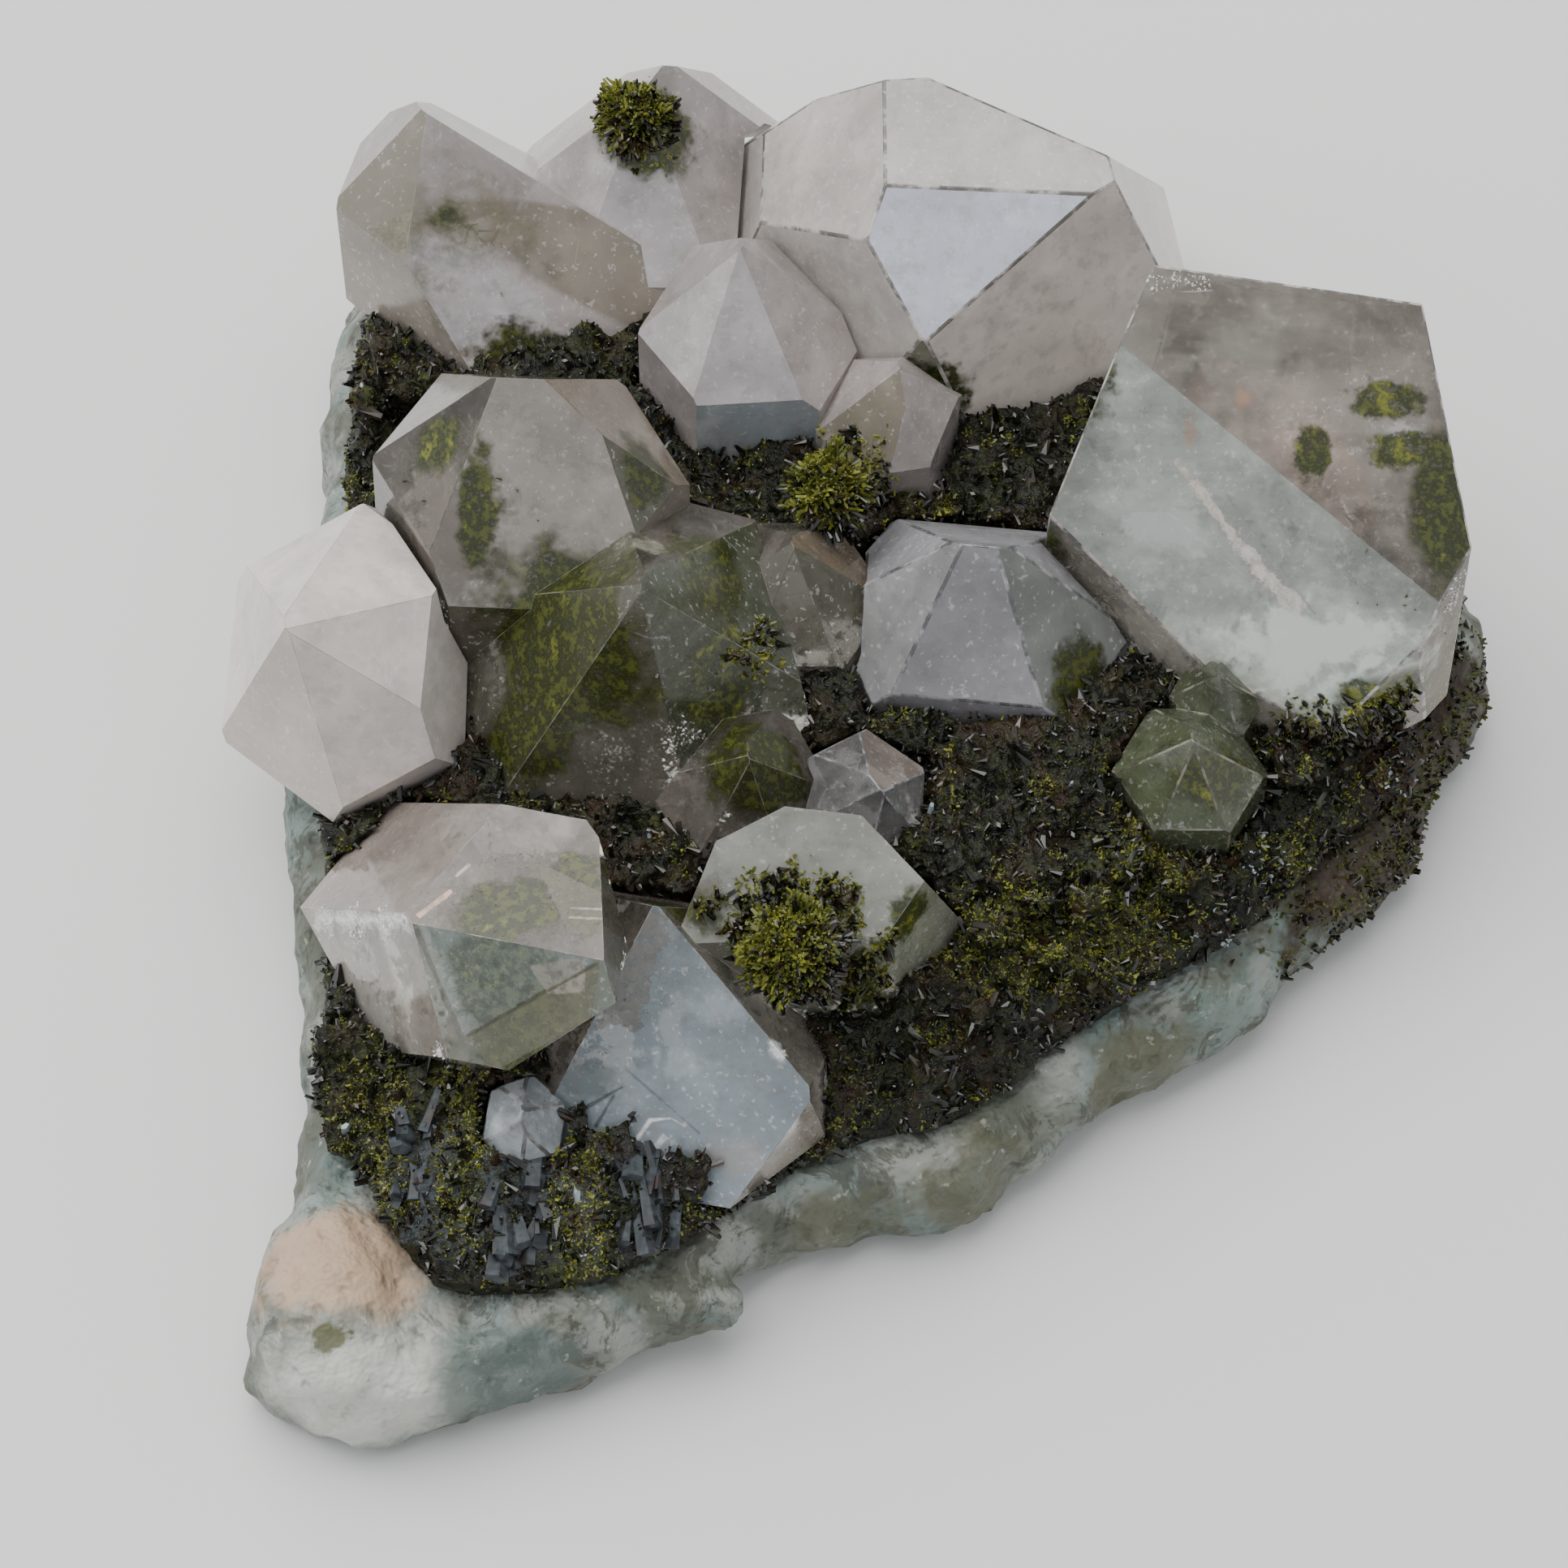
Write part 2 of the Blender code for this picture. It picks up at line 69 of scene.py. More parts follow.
CLEAR = (0.97, 0.96, 0.94)
QUARTZ_IOR = 1.544
EPIDOTE_IOR = 1.73
# What the clear quartz absorbs, per metre of it.
DEPTH_TINT = (0.78, 0.78, 0.66)
DEPTH_DENSITY = 22.0
# The crystals are milkier at the foot: fully below the first height, not at all above the second.
FOOT_MILK = 0.30
FOOT_HEIGHTS = (9.0, 16.0)
# The edges between crystal faces: pale broken lines, partly wear and partly a painted highlight.
EDGE_WIDTH = 0.11
EDGE_ANGLE = 14
# The spots' noises have only these scales, so that equal ones are one node.
SPOT_SCALES = (0.35, 0.7, 1.2, 2.0)


# ---------------------------------------------------------------- materials

def shade(colour, share):
    return tuple(c * share for c in colour)


def direction(azimuth, elevation):
    """A unit vector, from degrees."""
    a, e = math.radians(azimuth), math.radians(elevation)
    return Vector((math.cos(e) * math.cos(a), math.cos(e) * math.sin(a), math.sin(e)))


def strip(first, last, width, face):
    """The corners of a thin strip on a crystal face that points that way."""
    first, last = Vector(first), Vector(last)
    side = direction(*face).cross(last - first).normalized() * width / 2
    return first - side, last - side, last + side, first + side


def strips(face, *rows):
    """Strips on one face: both ends, width, colour, strength and, if said, how ragged each is."""
    return [(face, strip(first, last, width, face), *look) for first, last, width, *look in rows]


class Value:
    """A shader socket that plain arithmetic works on."""

    def __init__(self, finish, socket):
        self.finish = finish
        self.socket = socket

    def math(self, operation, first, second=0.0):
        return self.finish.add("ShaderNodeMath", {"operation": operation}, {0: first, 1: second})

    def __add__(self, other):
        return self.math("ADD", self, other)

    def __sub__(self, other):
        return self.math("SUBTRACT", self, other)

    def __rsub__(self, other):
        return self.math("SUBTRACT", other, self)

    def __mul__(self, other):
        return self.math("MULTIPLY", self, other)

    __radd__ = __add__
    __rmul__ = __mul__

    def clamped(self):
        return self.finish.add("ShaderNodeClamp", {}, {"Value": self})

    def larger(self, other):
        return self.math("MAXIMUM", self, other)

    def unsigned(self):
        return self.math("ABSOLUTE", self)

    def above(self, low, high):
        """0 below low, 1 above high, and smooth between."""
        return self.finish.add("ShaderNodeMapRange", {"interpolation_type": "SMOOTHSTEP"},
                               {"Value": self, "From Min": low, "From Max": high})


class Finish:
    """A material that is written as expressions on its nodes' sockets."""

    def __init__(self, name):
        self.material = bpy.data.materials.new(name)
        self.material.use_nodes = True
        self.nodes = self.material.node_tree.nodes
        self.links = self.material.node_tree.links
        self.nodes.clear()
        self.noises = {}
        self.place = self.add("ShaderNodeTexCoord", {}, {}, "Object")

    def add(self, kind, settings, inputs, output=0):
        """Adds a node with its settings, then its sockets' values or links, and gives an output."""
        node = self.nodes.new(kind)
        for key, value in settings.items():
            setattr(node, key, value)
        for key, value in inputs.items():
            if isinstance(value, Value):
                self.links.new(value.socket, node.inputs[key])
            elif isinstance(value, tuple) and node.inputs[key].type == "RGBA":
                node.inputs[key].default_value = (*value, 1)
            else:
                node.inputs[key].default_value = value
        return Value(self, node.outputs[output])

    def noise(self, scale, detail=3.0, rough=0.55, warp=0.0, place=None):
        """Noise whose scale is counted per millimetre; equal noises are one node."""
        key = (scale, detail, rough, warp, place)
        if key not in self.noises:
            self.noises[key] = self.add("ShaderNodeTexNoise", {}, {
                "Vector": place or self.place, "Scale": scale / MM, "Detail": detail, "Roughness": rough,
                "Distortion": warp})
        return self.noises[key]

    def cells(self, scale):
        """The distance to the nearest of scattered points, whose scale is counted per millimetre."""
        return self.add("ShaderNodeTexVoronoi", {}, {"Vector": self.place, "Scale": scale / MM}, "Distance")

    def mixed(self, factor, first, second):
        """A colour between two colours."""
        return self.add("ShaderNodeMix", {"data_type": "RGBA"}, {0: factor, 6: first, 7: second}, 2)

    def spot(self, centre, radii, ragged=0.5, scale=0.5, soft=0.35):
        """1 inside a ragged ellipsoid, 0 outside it."""
        scale = min(SPOT_SCALES, key=lambda step: abs(step - scale))
        offset = self.add("ShaderNodeVectorMath", {"operation": "SUBTRACT"},
                          {0: self.place, 1: [c * MM for c in centre]})
        reach = self.add("ShaderNodeVectorMath", {"operation": "DIVIDE"},
                         {0: offset, 1: [r * MM for r in radii]})
        length = self.add("ShaderNodeVectorMath", {"operation": "LENGTH"}, {0: reach}, "Value")
        return (1 - length + (self.noise(scale, 3, 0.65) - 0.5) * 2 * ragged).above(-0.05, soft)

    def plate(self, corners, wobble=0.12, soft=0.05):
        """1 inside a flat convex shape and straight under it, 0 outside, with ragged sides."""
        points = [Vector(corner) * MM for corner in corners]
        normal = (points[1] - points[0]).cross(points[2] - points[0]).normalized()
        ragged = (self.noise(0.9, 4, 0.7) - 0.5) * (2 * wobble * MM)
        mask = 1.0
        for first, second in zip(points, points[1:] + points[:1]):
            inward = normal.cross(second - first).normalized()
            dot = self.add("ShaderNodeVectorMath", {"operation": "DOT_PRODUCT"},
                           {0: self.place, 1: inward[:]}, "Value")
            mask = (dot + ragged - first.dot(inward)).above(-soft * MM, soft * MM) * mask
        return mask

    def facing(self, azimuth, elevation, spread=4):
        """1 on flat faces whose normal points that way, 0 on the others."""
        way = direction(azimuth, elevation)[:]
        normal = self.add("ShaderNodeTexCoord", {}, {}, "Normal")
        dot = self.add("ShaderNodeVectorMath", {"operation": "DOT_PRODUCT"}, {0: normal, 1: way}, "Value")
        edge = math.cos(math.radians(spread))
        return dot.above(edge - 0.0004, edge + 0.0004)

    def bump(self, height, strength, distance):
        return self.add("ShaderNodeBump", {}, {"Height": height, "Strength": strength,
                                               "Distance": distance * MM})

    def surface(self, inputs):
        return self.add("ShaderNodeBsdfPrincipled", {}, inputs)

    def blended(self, factor, first, second):
        """A surface between two surfaces."""
        return self.add("ShaderNodeMixShader", {}, {0: factor, 1: first, 2: second})

    def depths(self):
        """The faint colour that light takes on inside clear quartz."""
        return self.add("ShaderNodeVolumeAbsorption", {}, {"Color": DEPTH_TINT, "Density": DEPTH_DENSITY})

    def done(self, surface, volume=None):
        output = self.nodes.new("ShaderNodeOutputMaterial")
        self.links.new(surface.socket, output.inputs["Surface"])
        if volume:
            self.links.new(volume.socket, output.inputs["Volume"])
        return self.material


def quartz(name, milk, haze, faces=(), stains_and_glints=(), moss=(), plates=(), veil=0.3, veil_scale=0.14,
           rough=0.06, cracks_and_glints=0.0, streaks=0.0, moss_cover=0.63, seed=(0, 0, 0)):
    """Quartz: clear glass with milky veils in it.

    milk is the colour of what clouds it, and haze is how cloudy it is all over. faces gives single
    flat faces another tone: azimuth and elevation of the normal, colour, cloudiness; on one crystal a
    face's lilac tone is a painted reflection and another face is painted lighter against its shade.
    The stain spots are centre, half sizes, colour, strength: mostly real staining, some a painted
    glint. moss is centre, half sizes, how yellow it is and, if it keeps to one face, that face. plates
    are sharp-edged fields on one face: the face, corners, colour, strength and, if said, how ragged
    they are; a few are painted glints, and one is a painted shadow line. The crack strength also sets
    tiny painted glints. seed moves the noises to another place.
    """
    f = Finish(name)
    shifted = f.add("ShaderNodeVectorMath", {"operation": "ADD"}, {0: f.place, 1: [s * MM for s in seed]})
    mottle = f.noise(0.35, 3, 0.6, 0, shifted).above(0.3, 0.7)
    colour = f.mixed(mottle, shade(milk, 0.80), milk)
    base = f.noise(0.06, 2, 0.5, 0, shifted) * 0.08 + (haze - 0.04)
    for azimuth, elevation, face_colour, face_haze in faces:
        on = f.facing(azimuth, elevation)
        colour = f.mixed(on, colour, f.mixed(mottle, shade(face_colour, 0.84), face_colour))
        base = base * (1 - on) + on * face_haze
    darker = f.noise(1.1, 3, 0.72, 0, shifted).above(0.48, 0.66) * 0.30
    colour = f.mixed(darker, colour, shade(milk, 0.55))
    specks = f.noise(3.0, 2, 0.65, 0, shifted).above(0.60, 0.68) * 0.40
    colour = f.mixed(specks, colour, FROST)
    billows = f.noise(veil_scale, 3, 0.62, 0.6, shifted).above(0.38, 0.70)
    wisps = f.noise(veil_scale * 5, 3, 0.72, 0, shifted).above(0.52, 0.72)
    cover = base + (billows - 0.4) * veil + wisps * veil * 0.4
    height = f.add("ShaderNodeSeparateXYZ", {}, {0: f.place}, 2) + f.noise(0.2, 1) * (3 * MM)
    low, high = FOOT_HEIGHTS
    cover = cover + (1 - height.above(low * MM, high * MM)) * FOOT_MILK
    if streaks:
        along = f.add("ShaderNodeMapping", {}, {"Vector": shifted, "Scale": (0.22, 1, 1),
                                                "Rotation": [math.radians(a) for a in (20, 15, 50)]})
        cover = cover + (f.noise(1.1, 3, 0.6, 0, along) - 0.5) * streaks
    # Thin pale crack lines, and tiny scattered spots that are a painted glint; one strength sets both.
    if cracks_and_glints:
        line = f.noise(0.11, 2, 0.4, 0.4, shifted) - 0.5
        ridge = 1 - line.unsigned().above(0.0008, 0.0045)
        seam = f.noise(0.30, 2, 0.5, 0, shifted).above(0.54, 0.66) * ridge * cracks_and_glints
        painted_glint = (1 - f.cells(1.3).above(0.04, 0.11)) * f.noise(0.7, 2).above(0.60, 0.66) * cracks_and_glints
        bright = seam.larger(painted_glint)
        colour = f.mixed(bright.clamped(), colour, (0.72, 0.71, 0.69))
        cover = cover.larger(bright)
    # Spots of colour: real staining on most, a painted glint on some.
    for centre, radii, spot_colour, strength in stains_and_glints:
        mask = f.spot(centre, radii, 0.9, 5.0 / sum(radii) + 0.2, 0.7) * strength
        colour = f.mixed(mask.clamped(), colour, spot_colour)
        cover = cover.larger(mask)
    crumbs = f.noise(1.9, 3, 0.72)
    growth = crumbs * 0.0  # bare to start with
    grown_colour = DEEP_GREEN
    for centre, radii, yellow, *face in moss:
        mask = f.spot(centre, radii, 0.6, 3.6 / sum(radii) + 0.15, 0.3)
        if face:
            mask = mask * f.facing(*face)
        green = f.mixed(crumbs.above(0.46, 0.62), DEEP_GREEN, MOSS)
        glow = f.noise(0.8, 4, 0.7).above(0.62 - yellow * 0.22, 0.74 - yellow * 0.18)
        glow = glow * crumbs.above(0.36, 0.56)
        green = f.mixed(glow.clamped(), green, BRIGHT_MOSS)
        mask = mask * (crumbs.above(0.32, 0.46) * (0.98 - moss_cover) + moss_cover)
        grown_colour = f.mixed(mask.clamped(), grown_colour, green)
        growth = growth.larger(mask)
    for face, corners, tone, strength, *wobble in plates:
        mask = f.plate(corners, *wobble) * f.facing(*face)
        mask = mask * (crumbs.above(0.30, 0.50) * 0.25 + 0.75) * strength
        mottled = f.mixed(crumbs.above(0.42, 0.60), shade(tone, 0.75), tone)
        colour = f.mixed(mask.clamped(), colour, mottled)
        growth = growth * (1 - mask)
        cover = cover.larger(mask)
    relief = f.noise(0.25, 1, 0.5, 0, shifted) + f.noise(3.5, 2, 0.65).above(0.60, 0.8) * 0.2
    normal = f.bump(relief, 0.16, 0.22)
    sheen = rough + mottle * 0.06
    clear = f.surface({"Base Color": CLEAR, "Roughness": sheen, "Transmission Weight": 1.0,
                       "IOR": QUARTZ_IOR, "Normal": normal})
    cloudy = f.surface({"Base Color": colour, "Roughness": sheen + 0.05, "IOR": QUARTZ_IOR,
                        "Normal": normal})
    both = f.blended(cover.clamped(), clear, cloudy)
    if moss:
        mossy = f.surface({"Base Color": grown_colour, "Roughness": 0.18, "IOR": QUARTZ_IOR,
                           "Normal": normal})
        both = f.blended(growth.clamped(), both, mossy)
    return f.done(both, f.depths())


def edge_wear_and_highlight(name, colour, haze):
    """The edges between crystal faces: pale in broken lines, partly wear and partly a painted highlight,
    clear between.
    """
    f = Finish(name)
    broken = f.noise(0.7, 3, 0.7).above(0.40, 0.62)
    worn_and_lit = f.surface({"Base Color": f.mixed(broken, shade(colour, 0.6), colour), "Roughness": 0.14,
                      "IOR": QUARTZ_IOR})
    clear = f.surface({"Base Color": CLEAR, "Roughness": 0.04, "Transmission Weight": 1.0,
                       "IOR": QUARTZ_IOR})
    both = f.blended((broken * 0.45 + haze).clamped(), clear, worn_and_lit)
    return f.done(both, f.depths())


def epidote(name, dark, green, share, rough=0.22, level=0.5):
    """Epidote grains: dark and brown, and green by patches; share is how much of it is green."""
    f = Finish(name)
    patch = f.noise(0.9, 2, 0.65).above(0.62 - share, 0.78 - share)
    fine = f.noise(2.5, 1).above(0.35, 0.65)
    brown = tuple(c + b for c, b in zip(dark, BROWN_EPIDOTE))
    colour = f.mixed(f.noise(0.6, 1).above(0.52, 0.62), dark, brown)
    colour = f.mixed(patch, colour, f.mixed(fine, green, shade(green, 0.55)))
    return f.done(f.surface({"Base Color": colour, "Roughness": rough + patch * 0.25,
                             "IOR": EPIDOTE_IOR, "Specular IOR Level": level}))


# Yellow-green moss on the crust: centre and half sizes.
CRUST_MOSS = (
    ((17.0, -10.5, 10.5), (2.0, 2.8, 3)), ((13.0, -14.0, 10), (7.5, 2.6, 3)),
    ((28.0, -1.2, 10.5), (2.5, 1.6, 2)), ((-19.0, -24.6, 8), (1.5, 5.0, 4)),
    ((-14.8, -24.8, 9), (1.1, 4.2, 4)), ((-9.2, -27.6, 8.5), (1.5, 3.4, 4)),
    ((0.3, 4.0, 12), (1.6, 1.4, 3)), ((22.5, -15.0, 9), (3.0, 2.2, 3)),
    ((3.5, -25.0, 8.5), (2.6, 2.0, 3)), ((-22.0, 10.0, 9), (2.0, 3.0, 3)),
    ((24.0, -9.0, 9.5), (1.6, 2.0, 3)),
)
# The three of them that run down the front slope as strips.
SLOPE_STRIPS = CRUST_MOSS[3:6]


def crust_finish():
    """The crust under its grains: near black and brown, mossy by patches, bluish on the front slope."""
    f = Finish("epidote_crust_ground")
    patch = f.noise(0.22, 4, 0.65).above(0.56, 0.70)
    fine = f.noise(1.8, 3, 0.7).above(0.42, 0.60)
    colour = f.mixed(f.noise(0.3, 3, 0.6).above(0.5, 0.62), DARK_EPIDOTE, BROWN_EPIDOTE)
    colour = f.mixed(fine * 0.6, colour, DEEP_GREEN)
    colour = f.mixed((patch * (0.2 + fine * 0.5)).clamped(), colour, MOSS)
    for centre, radii in CRUST_MOSS:
        mask = f.spot(centre, radii, 0.9, 0.7) * (0.10 + fine * 0.6)
        colour = f.mixed(mask.clamped(), colour, shade(MOSS, 0.75))
    slope = f.spot((-12.5, -26, 8), (8.0, 5.0, 4), 0.5, 0.4) * f.noise(0.6, 4, 0.7).above(0.42, 0.6) * 0.7
    colour = f.mixed(slope, colour, (0.065, 0.078, 0.088))
    right_end = f.spot((30.5, -2, 8), (4.0, 6.0, 5), 0.6, 0.4) * fine * 0.8
    colour = f.mixed(right_end, colour, (0.055, 0.018, 0.007))
    relief = f.noise(2.2, 3, 0.7) + f.cells(1.8) * 0.8
    return f.done(f.surface({"Base Color": colour, "Roughness": 0.40 + patch * 0.25, "IOR": 1.6,
                             "Specular IOR Level": 0.22, "Normal": f.bump(relief, 0.9, 0.35)}))


def rock_finish():
    """The rock: pale greenish stone, aqua with olive spots at the rim, orange-beige on the left lobe."""
    f = Finish("pale_rock")
    cloud = f.noise(0.16, 4, 0.62, 0.6)
    fine = f.noise(1.1, 4, 0.7)
    colour = f.mixed(cloud.above(0.40, 0.60), (0.105, 0.115, 0.088), (0.29, 0.30, 0.27))
    colour = f.mixed(f.noise(0.13, 3, 0.6, 1).above(0.50, 0.62) * 0.5, colour, (0.15, 0.23, 0.225))
    colour = f.mixed(f.noise(0.30, 5, 0.75, 1.5).above(0.50, 0.60) * 0.75, colour, (0.050, 0.052, 0.034))
    colour = f.mixed(f.noise(1.4, 3, 0.75).above(0.56, 0.68) * 0.6, colour, (0.09, 0.095, 0.06))
    for place, strength, spot_colour in (
            (((-19.5, -35.5, 5), (6.5, 5.5, 5), 0.35, 0.3, 0.6), 0.85, (0.58, 0.59, 0.53)),
            (((-20.5, -29.5, 6.5), (4.5, 3.6, 4), 0.5, 0.4), 0.8, (0.53, 0.37, 0.25)),
            (((-20.5, -33.0, 6.5), (1.2, 0.8, 2), 0.9, 1.2), 0.8, OLIVE),
            (((-12.5, -33.5, 4), (4.6, 2.4, 4), 0.7, 0.5), 0.7, (0.10, 0.14, 0.13)),
            (((9, -24, 4), (3.4, 2.4, 4), 0.8, 0.5), 0.75, (0.105, 0.105, 0.062)),
            (((3, -26, 4), (3.0, 2.0, 4), 0.8, 0.5), 0.75, (0.105, 0.105, 0.062)),
            (((17, -18, 4), (3.6, 2.4, 4), 0.8, 0.5), 0.75, (0.105, 0.105, 0.062))):
        colour = f.mixed(f.spot(*place) * strength, colour, spot_colour)
    grown = f.spot((30, -5, 6), (9.5, 11, 7), 0.7, 0.35) * 0.92
    growth = f.mixed(fine.above(0.50, 0.68), (0.030, 0.012, 0.005), shade(MOSS, 0.8))
    colour = f.mixed(grown, colour, growth)
    colour = f.mixed(fine.above(0.60, 0.74) * (1 - grown) * 0.5, colour, (0.62, 0.62, 0.56))
    pits = f.cells(0.9).above(0.05, 0.35)
    relief = f.noise(1.1, 2, 0.7) * 0.7 + f.noise(0.16, 2, 0.62) * 1.2 + pits * 0.35
    return f.done(f.surface({"Base Color": colour, "Roughness": 0.42 + fine * 0.25, "IOR": 1.5,
                             "Specular IOR Level": 0.4, "Normal": f.bump(relief, 0.8, 0.5)}))


def floor_finish():
    f = Finish("pale_floor")
    return f.done(f.surface({"Base Color": (0.74, 0.74, 0.73), "Roughness": 0.6}))


# ---------------------------------------------------------------- pieces

def deselect():
    if bpy.context.object and bpy.context.object.mode != "OBJECT":
        bpy.ops.object.mode_set(mode="OBJECT")
    bpy.ops.object.select_all(action="DESELECT")


def select(piece):
    deselect()
    piece.select_set(True)
    bpy.context.view_layer.objects.active = piece


def shaped(piece, kind, **settings):
    """Puts a modifier on a piece and applies it."""
    select(piece)
    modifier = piece.modifiers.new(kind.lower(), kind)
    for key, value in settings.items():
        setattr(modifier, key, value)
    bpy.ops.object.modifier_apply(modifier=modifier.name)


def carried(node, name, flat=0.5):
    """A copy of a CAD node's mesh with its points merged and, up to that angle, its flat faces whole."""
    piece = bpy.data.objects.new(name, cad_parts[node].data.copy())
    bpy.context.scene.collection.objects.link(piece)
    piece.data.materials.clear()
    bm = bmesh.new()
    bm.from_mesh(piece.data)
    bmesh.ops.remove_doubles(bm, verts=bm.verts[:], dist=0.001 * MM)
    if flat:
        bmesh.ops.dissolve_limit(bm, angle_limit=math.radians(flat), verts=bm.verts[:], edges=bm.edges[:])
    bm.to_mesh(piece.data)
    bm.free()
    return piece


def dressed(piece, material, nodes=()):
    """Gives a piece its finish and its place in the part."""
    piece.data.materials.clear()
    piece.data.materials.append(material)
    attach(piece, "root")
    for node in nodes:
        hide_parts(node)
    return piece


def roughened(piece, voxel, waves):
    """Remeshes a piece finely and moves its points along their normals by noise, as size and height."""
    shaped(piece, "REMESH", mode="VOXEL", voxel_size=voxel * MM)
    mesh = piece.data
    count = len(mesh.vertices)
    co = np.empty(count * 3)
    normals = np.empty(count * 3)
    mesh.vertices.foreach_get("co", co)
    mesh.vertices.foreach_get("normal", normals)
    co, normals = co.reshape(-1, 3), normals.reshape(-1, 3)
    lowest = co[:, 2].min()
    moves = np.zeros(count)
    for size, height in waves:
        moves += height * MM * np.array([noise.noise(Vector(p) / (size * MM)) for p in co])
    moves *= np.clip((co[:, 2] - lowest) / (1.0 * MM), 0, 1)
    co += normals * moves[:, None]
    mesh.vertices.foreach_set("co", co.ravel())
    mesh.update()
    select(piece)
    bpy.ops.object.shade_smooth()


def prism_form(sides, wedge, blunt):
    """A small crystal modelled once, one unit long along +Z from the origin, half a unit wide."""
    deselect()
    bpy.ops.mesh.primitive_cylinder_add(vertices=sides, radius=0.5, depth=1, location=(0, 0, 0.5))
    form = bpy.context.object
    bpy.ops.object.transform_apply(location=True, rotation=True, scale=True)
    bpy.ops.object.mode_set(mode="EDIT")
    bpy.ops.mesh.select_all(action="DESELECT")
    bpy.ops.object.mode_set(mode="OBJECT")
    for vert in form.data.vertices:
        vert.select = vert.co.z > 0.5
    bpy.ops.object.mode_set(mode="EDIT")
    bpy.ops.transform.resize(value=(wedge, blunt, 1), center_override=(0, 0, 1))
    bpy.ops.object.mode_set(mode="OBJECT")
    co = np.array([vert.co[:] for vert in form.data.vertices])
    faces = [list(polygon.vertices) for polygon in form.data.polygons]
    bpy.data.objects.remove(form)
    return co, faces


def scattered(name, form, spots, axes, lengths, widths, flatness=0.7):
    """One mesh of many copies of a small form: each at its spot, along its axis, at its size."""
    co, faces = form
    count = len(spots)
    axes = axes / np.linalg.norm(axes, axis=1, keepdims=True)
    side = np.cross(axes, RNG.normal(size=(count, 3)))
    side /= np.linalg.norm(side, axis=1, keepdims=True)
    other = np.cross(axes, side)
    x, y, z = co[:, 0], co[:, 1], co[:, 2]
    points = (spots[:, None, :]
              + (x[None, :, None] * side[:, None, :] * widths[:, None, None])
              + (y[None, :, None] * other[:, None, :] * widths[:, None, None] * flatness)
              + (z[None, :, None] * axes[:, None, :] * lengths[:, None, None]))
    everything = []
    for i in range(count):
        everything.extend([[i * len(co) + v for v in face] for face in faces])
    mesh = bpy.data.meshes.new(name)
    mesh.from_pydata((points.reshape(-1, 3) * MM).tolist(), [], everything)
    mesh.update()
    piece = bpy.data.objects.new(name, mesh)
    bpy.context.scene.collection.objects.link(piece)
    return piece


def spots_on(mesh, count, keep):
    """Random spots on a mesh's faces, with their normals, where keep(spots, normals) holds."""
    mesh.calc_loop_triangles()
    co = np.array([vert.co[:] for vert in mesh.vertices]) / MM
    tris = np.array([tri.vertices[:] for tri in mesh.loop_triangles])
    a, b, c = co[tris[:, 0]], co[tris[:, 1]], co[tris[:, 2]]
    normals = np.cross(b - a, c - a)
    areas = np.linalg.norm(normals, axis=1)
    normals = normals / np.maximum(areas, 1e-12)[:, None]
    chosen = RNG.choice(len(tris), size=count, p=areas / areas.sum())
    u, v = RNG.random(count), RNG.random(count)
    over = u + v > 1
    u[over], v[over] = 1 - u[over], 1 - v[over]
    spots = a[chosen] + u[:, None] * (b - a)[chosen] + v[:, None] * (c - a)[chosen]
    kept = keep(spots, normals[chosen])
    return spots[kept], normals[chosen][kept]


def tree_of(node):
    """A search tree of the surface of a CAD node."""
    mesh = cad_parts[node].data
    return BVHTree.FromPolygons([vert.co.copy() for vert in mesh.vertices],
                                [list(polygon.vertices) for polygon in mesh.polygons])


def reach_of(spots, centre, radii):
    """How far out spots lie from the centre of an ellipsoid: 1 on its surface."""
    return np.linalg.norm((spots - np.array(centre)) / np.array(radii), axis=1)


def ball_of(centre, radii, count):
    """Random spots inside an ellipsoid, denser to its middle."""
    out = RNG.normal(size=(count, 3))
    out /= np.linalg.norm(out, axis=1, keepdims=True)
    reach = RNG.random(count) ** 0.55
    return np.array(centre) + out * reach[:, None] * np.array(radii)


def inside(tree, spots, depth):
    """Which spots lie inside closed surfaces and at least depth under them."""
    kept = []
    for spot in spots:
        place = Vector(spot) * MM
        near, normal, _, distance = tree.find_nearest(place)
        kept.append(near is not None and (place - near).dot(normal) < 0 and distance > depth * MM)
    return np.array(kept)


# Faces of the tall right crystal, and of the left (fern, top, ridge) and middle (blue) front ones:
# azimuth and elevation of the normal.
BROAD_FACE = (-105, 37)
BREAK_FACE = (-100, 44)
FERN_FACE = (-123, 41)
TOP_FACE = (164, 76)
RIDGE_FACE = (-153, 13)
BLUE_FACE = (-100, 45)

RIGHT_PLATES = (
    *strips(BROAD_FACE,
            ((18.2, 5.6, 20.3), (20.0, 3.9, 18.7), 0.20, (0.76, 0.64, 0.56), 0.7, 0.25),
            ((19.0, 4.9, 19.6), (22.9, 1.1, 16.1), 0.45, (0.74, 0.66, 0.59), 0.75, 0.5),
            ((21.0, 2.9, 17.6), (24.2, 0.6, 15.4), 0.7, (0.76, 0.71, 0.66), 0.7, 0.8),
            ((17.2, 4.4, 18.6), (21.6, 1.6, 16.4), 0.06, (0.70, 0.72, 0.70), 0.6, 0.1),
            ((20.6, 4.4, 19.3), (24.8, 0.4, 15.4), 0.06, (0.28, 0.31, 0.28), 0.6, 0.15)),
    *strips(BREAK_FACE,
            ((19.0, 10.6, 26.0), (23.4, 7.2, 23.4), 0.07, (0.66, 0.60, 0.54), 0.6, 0.1),
            ((25.0, 9.6, 25.8), (28.6, 4.4, 21.6), 0.10, (0.68, 0.64, 0.58), 0.6, 0.3),
            ((21.8, 6.4, 22.2), (26.4, 6.6, 23.2), 0.08, (0.68, 0.62, 0.56), 0.5, 0.2)),
)

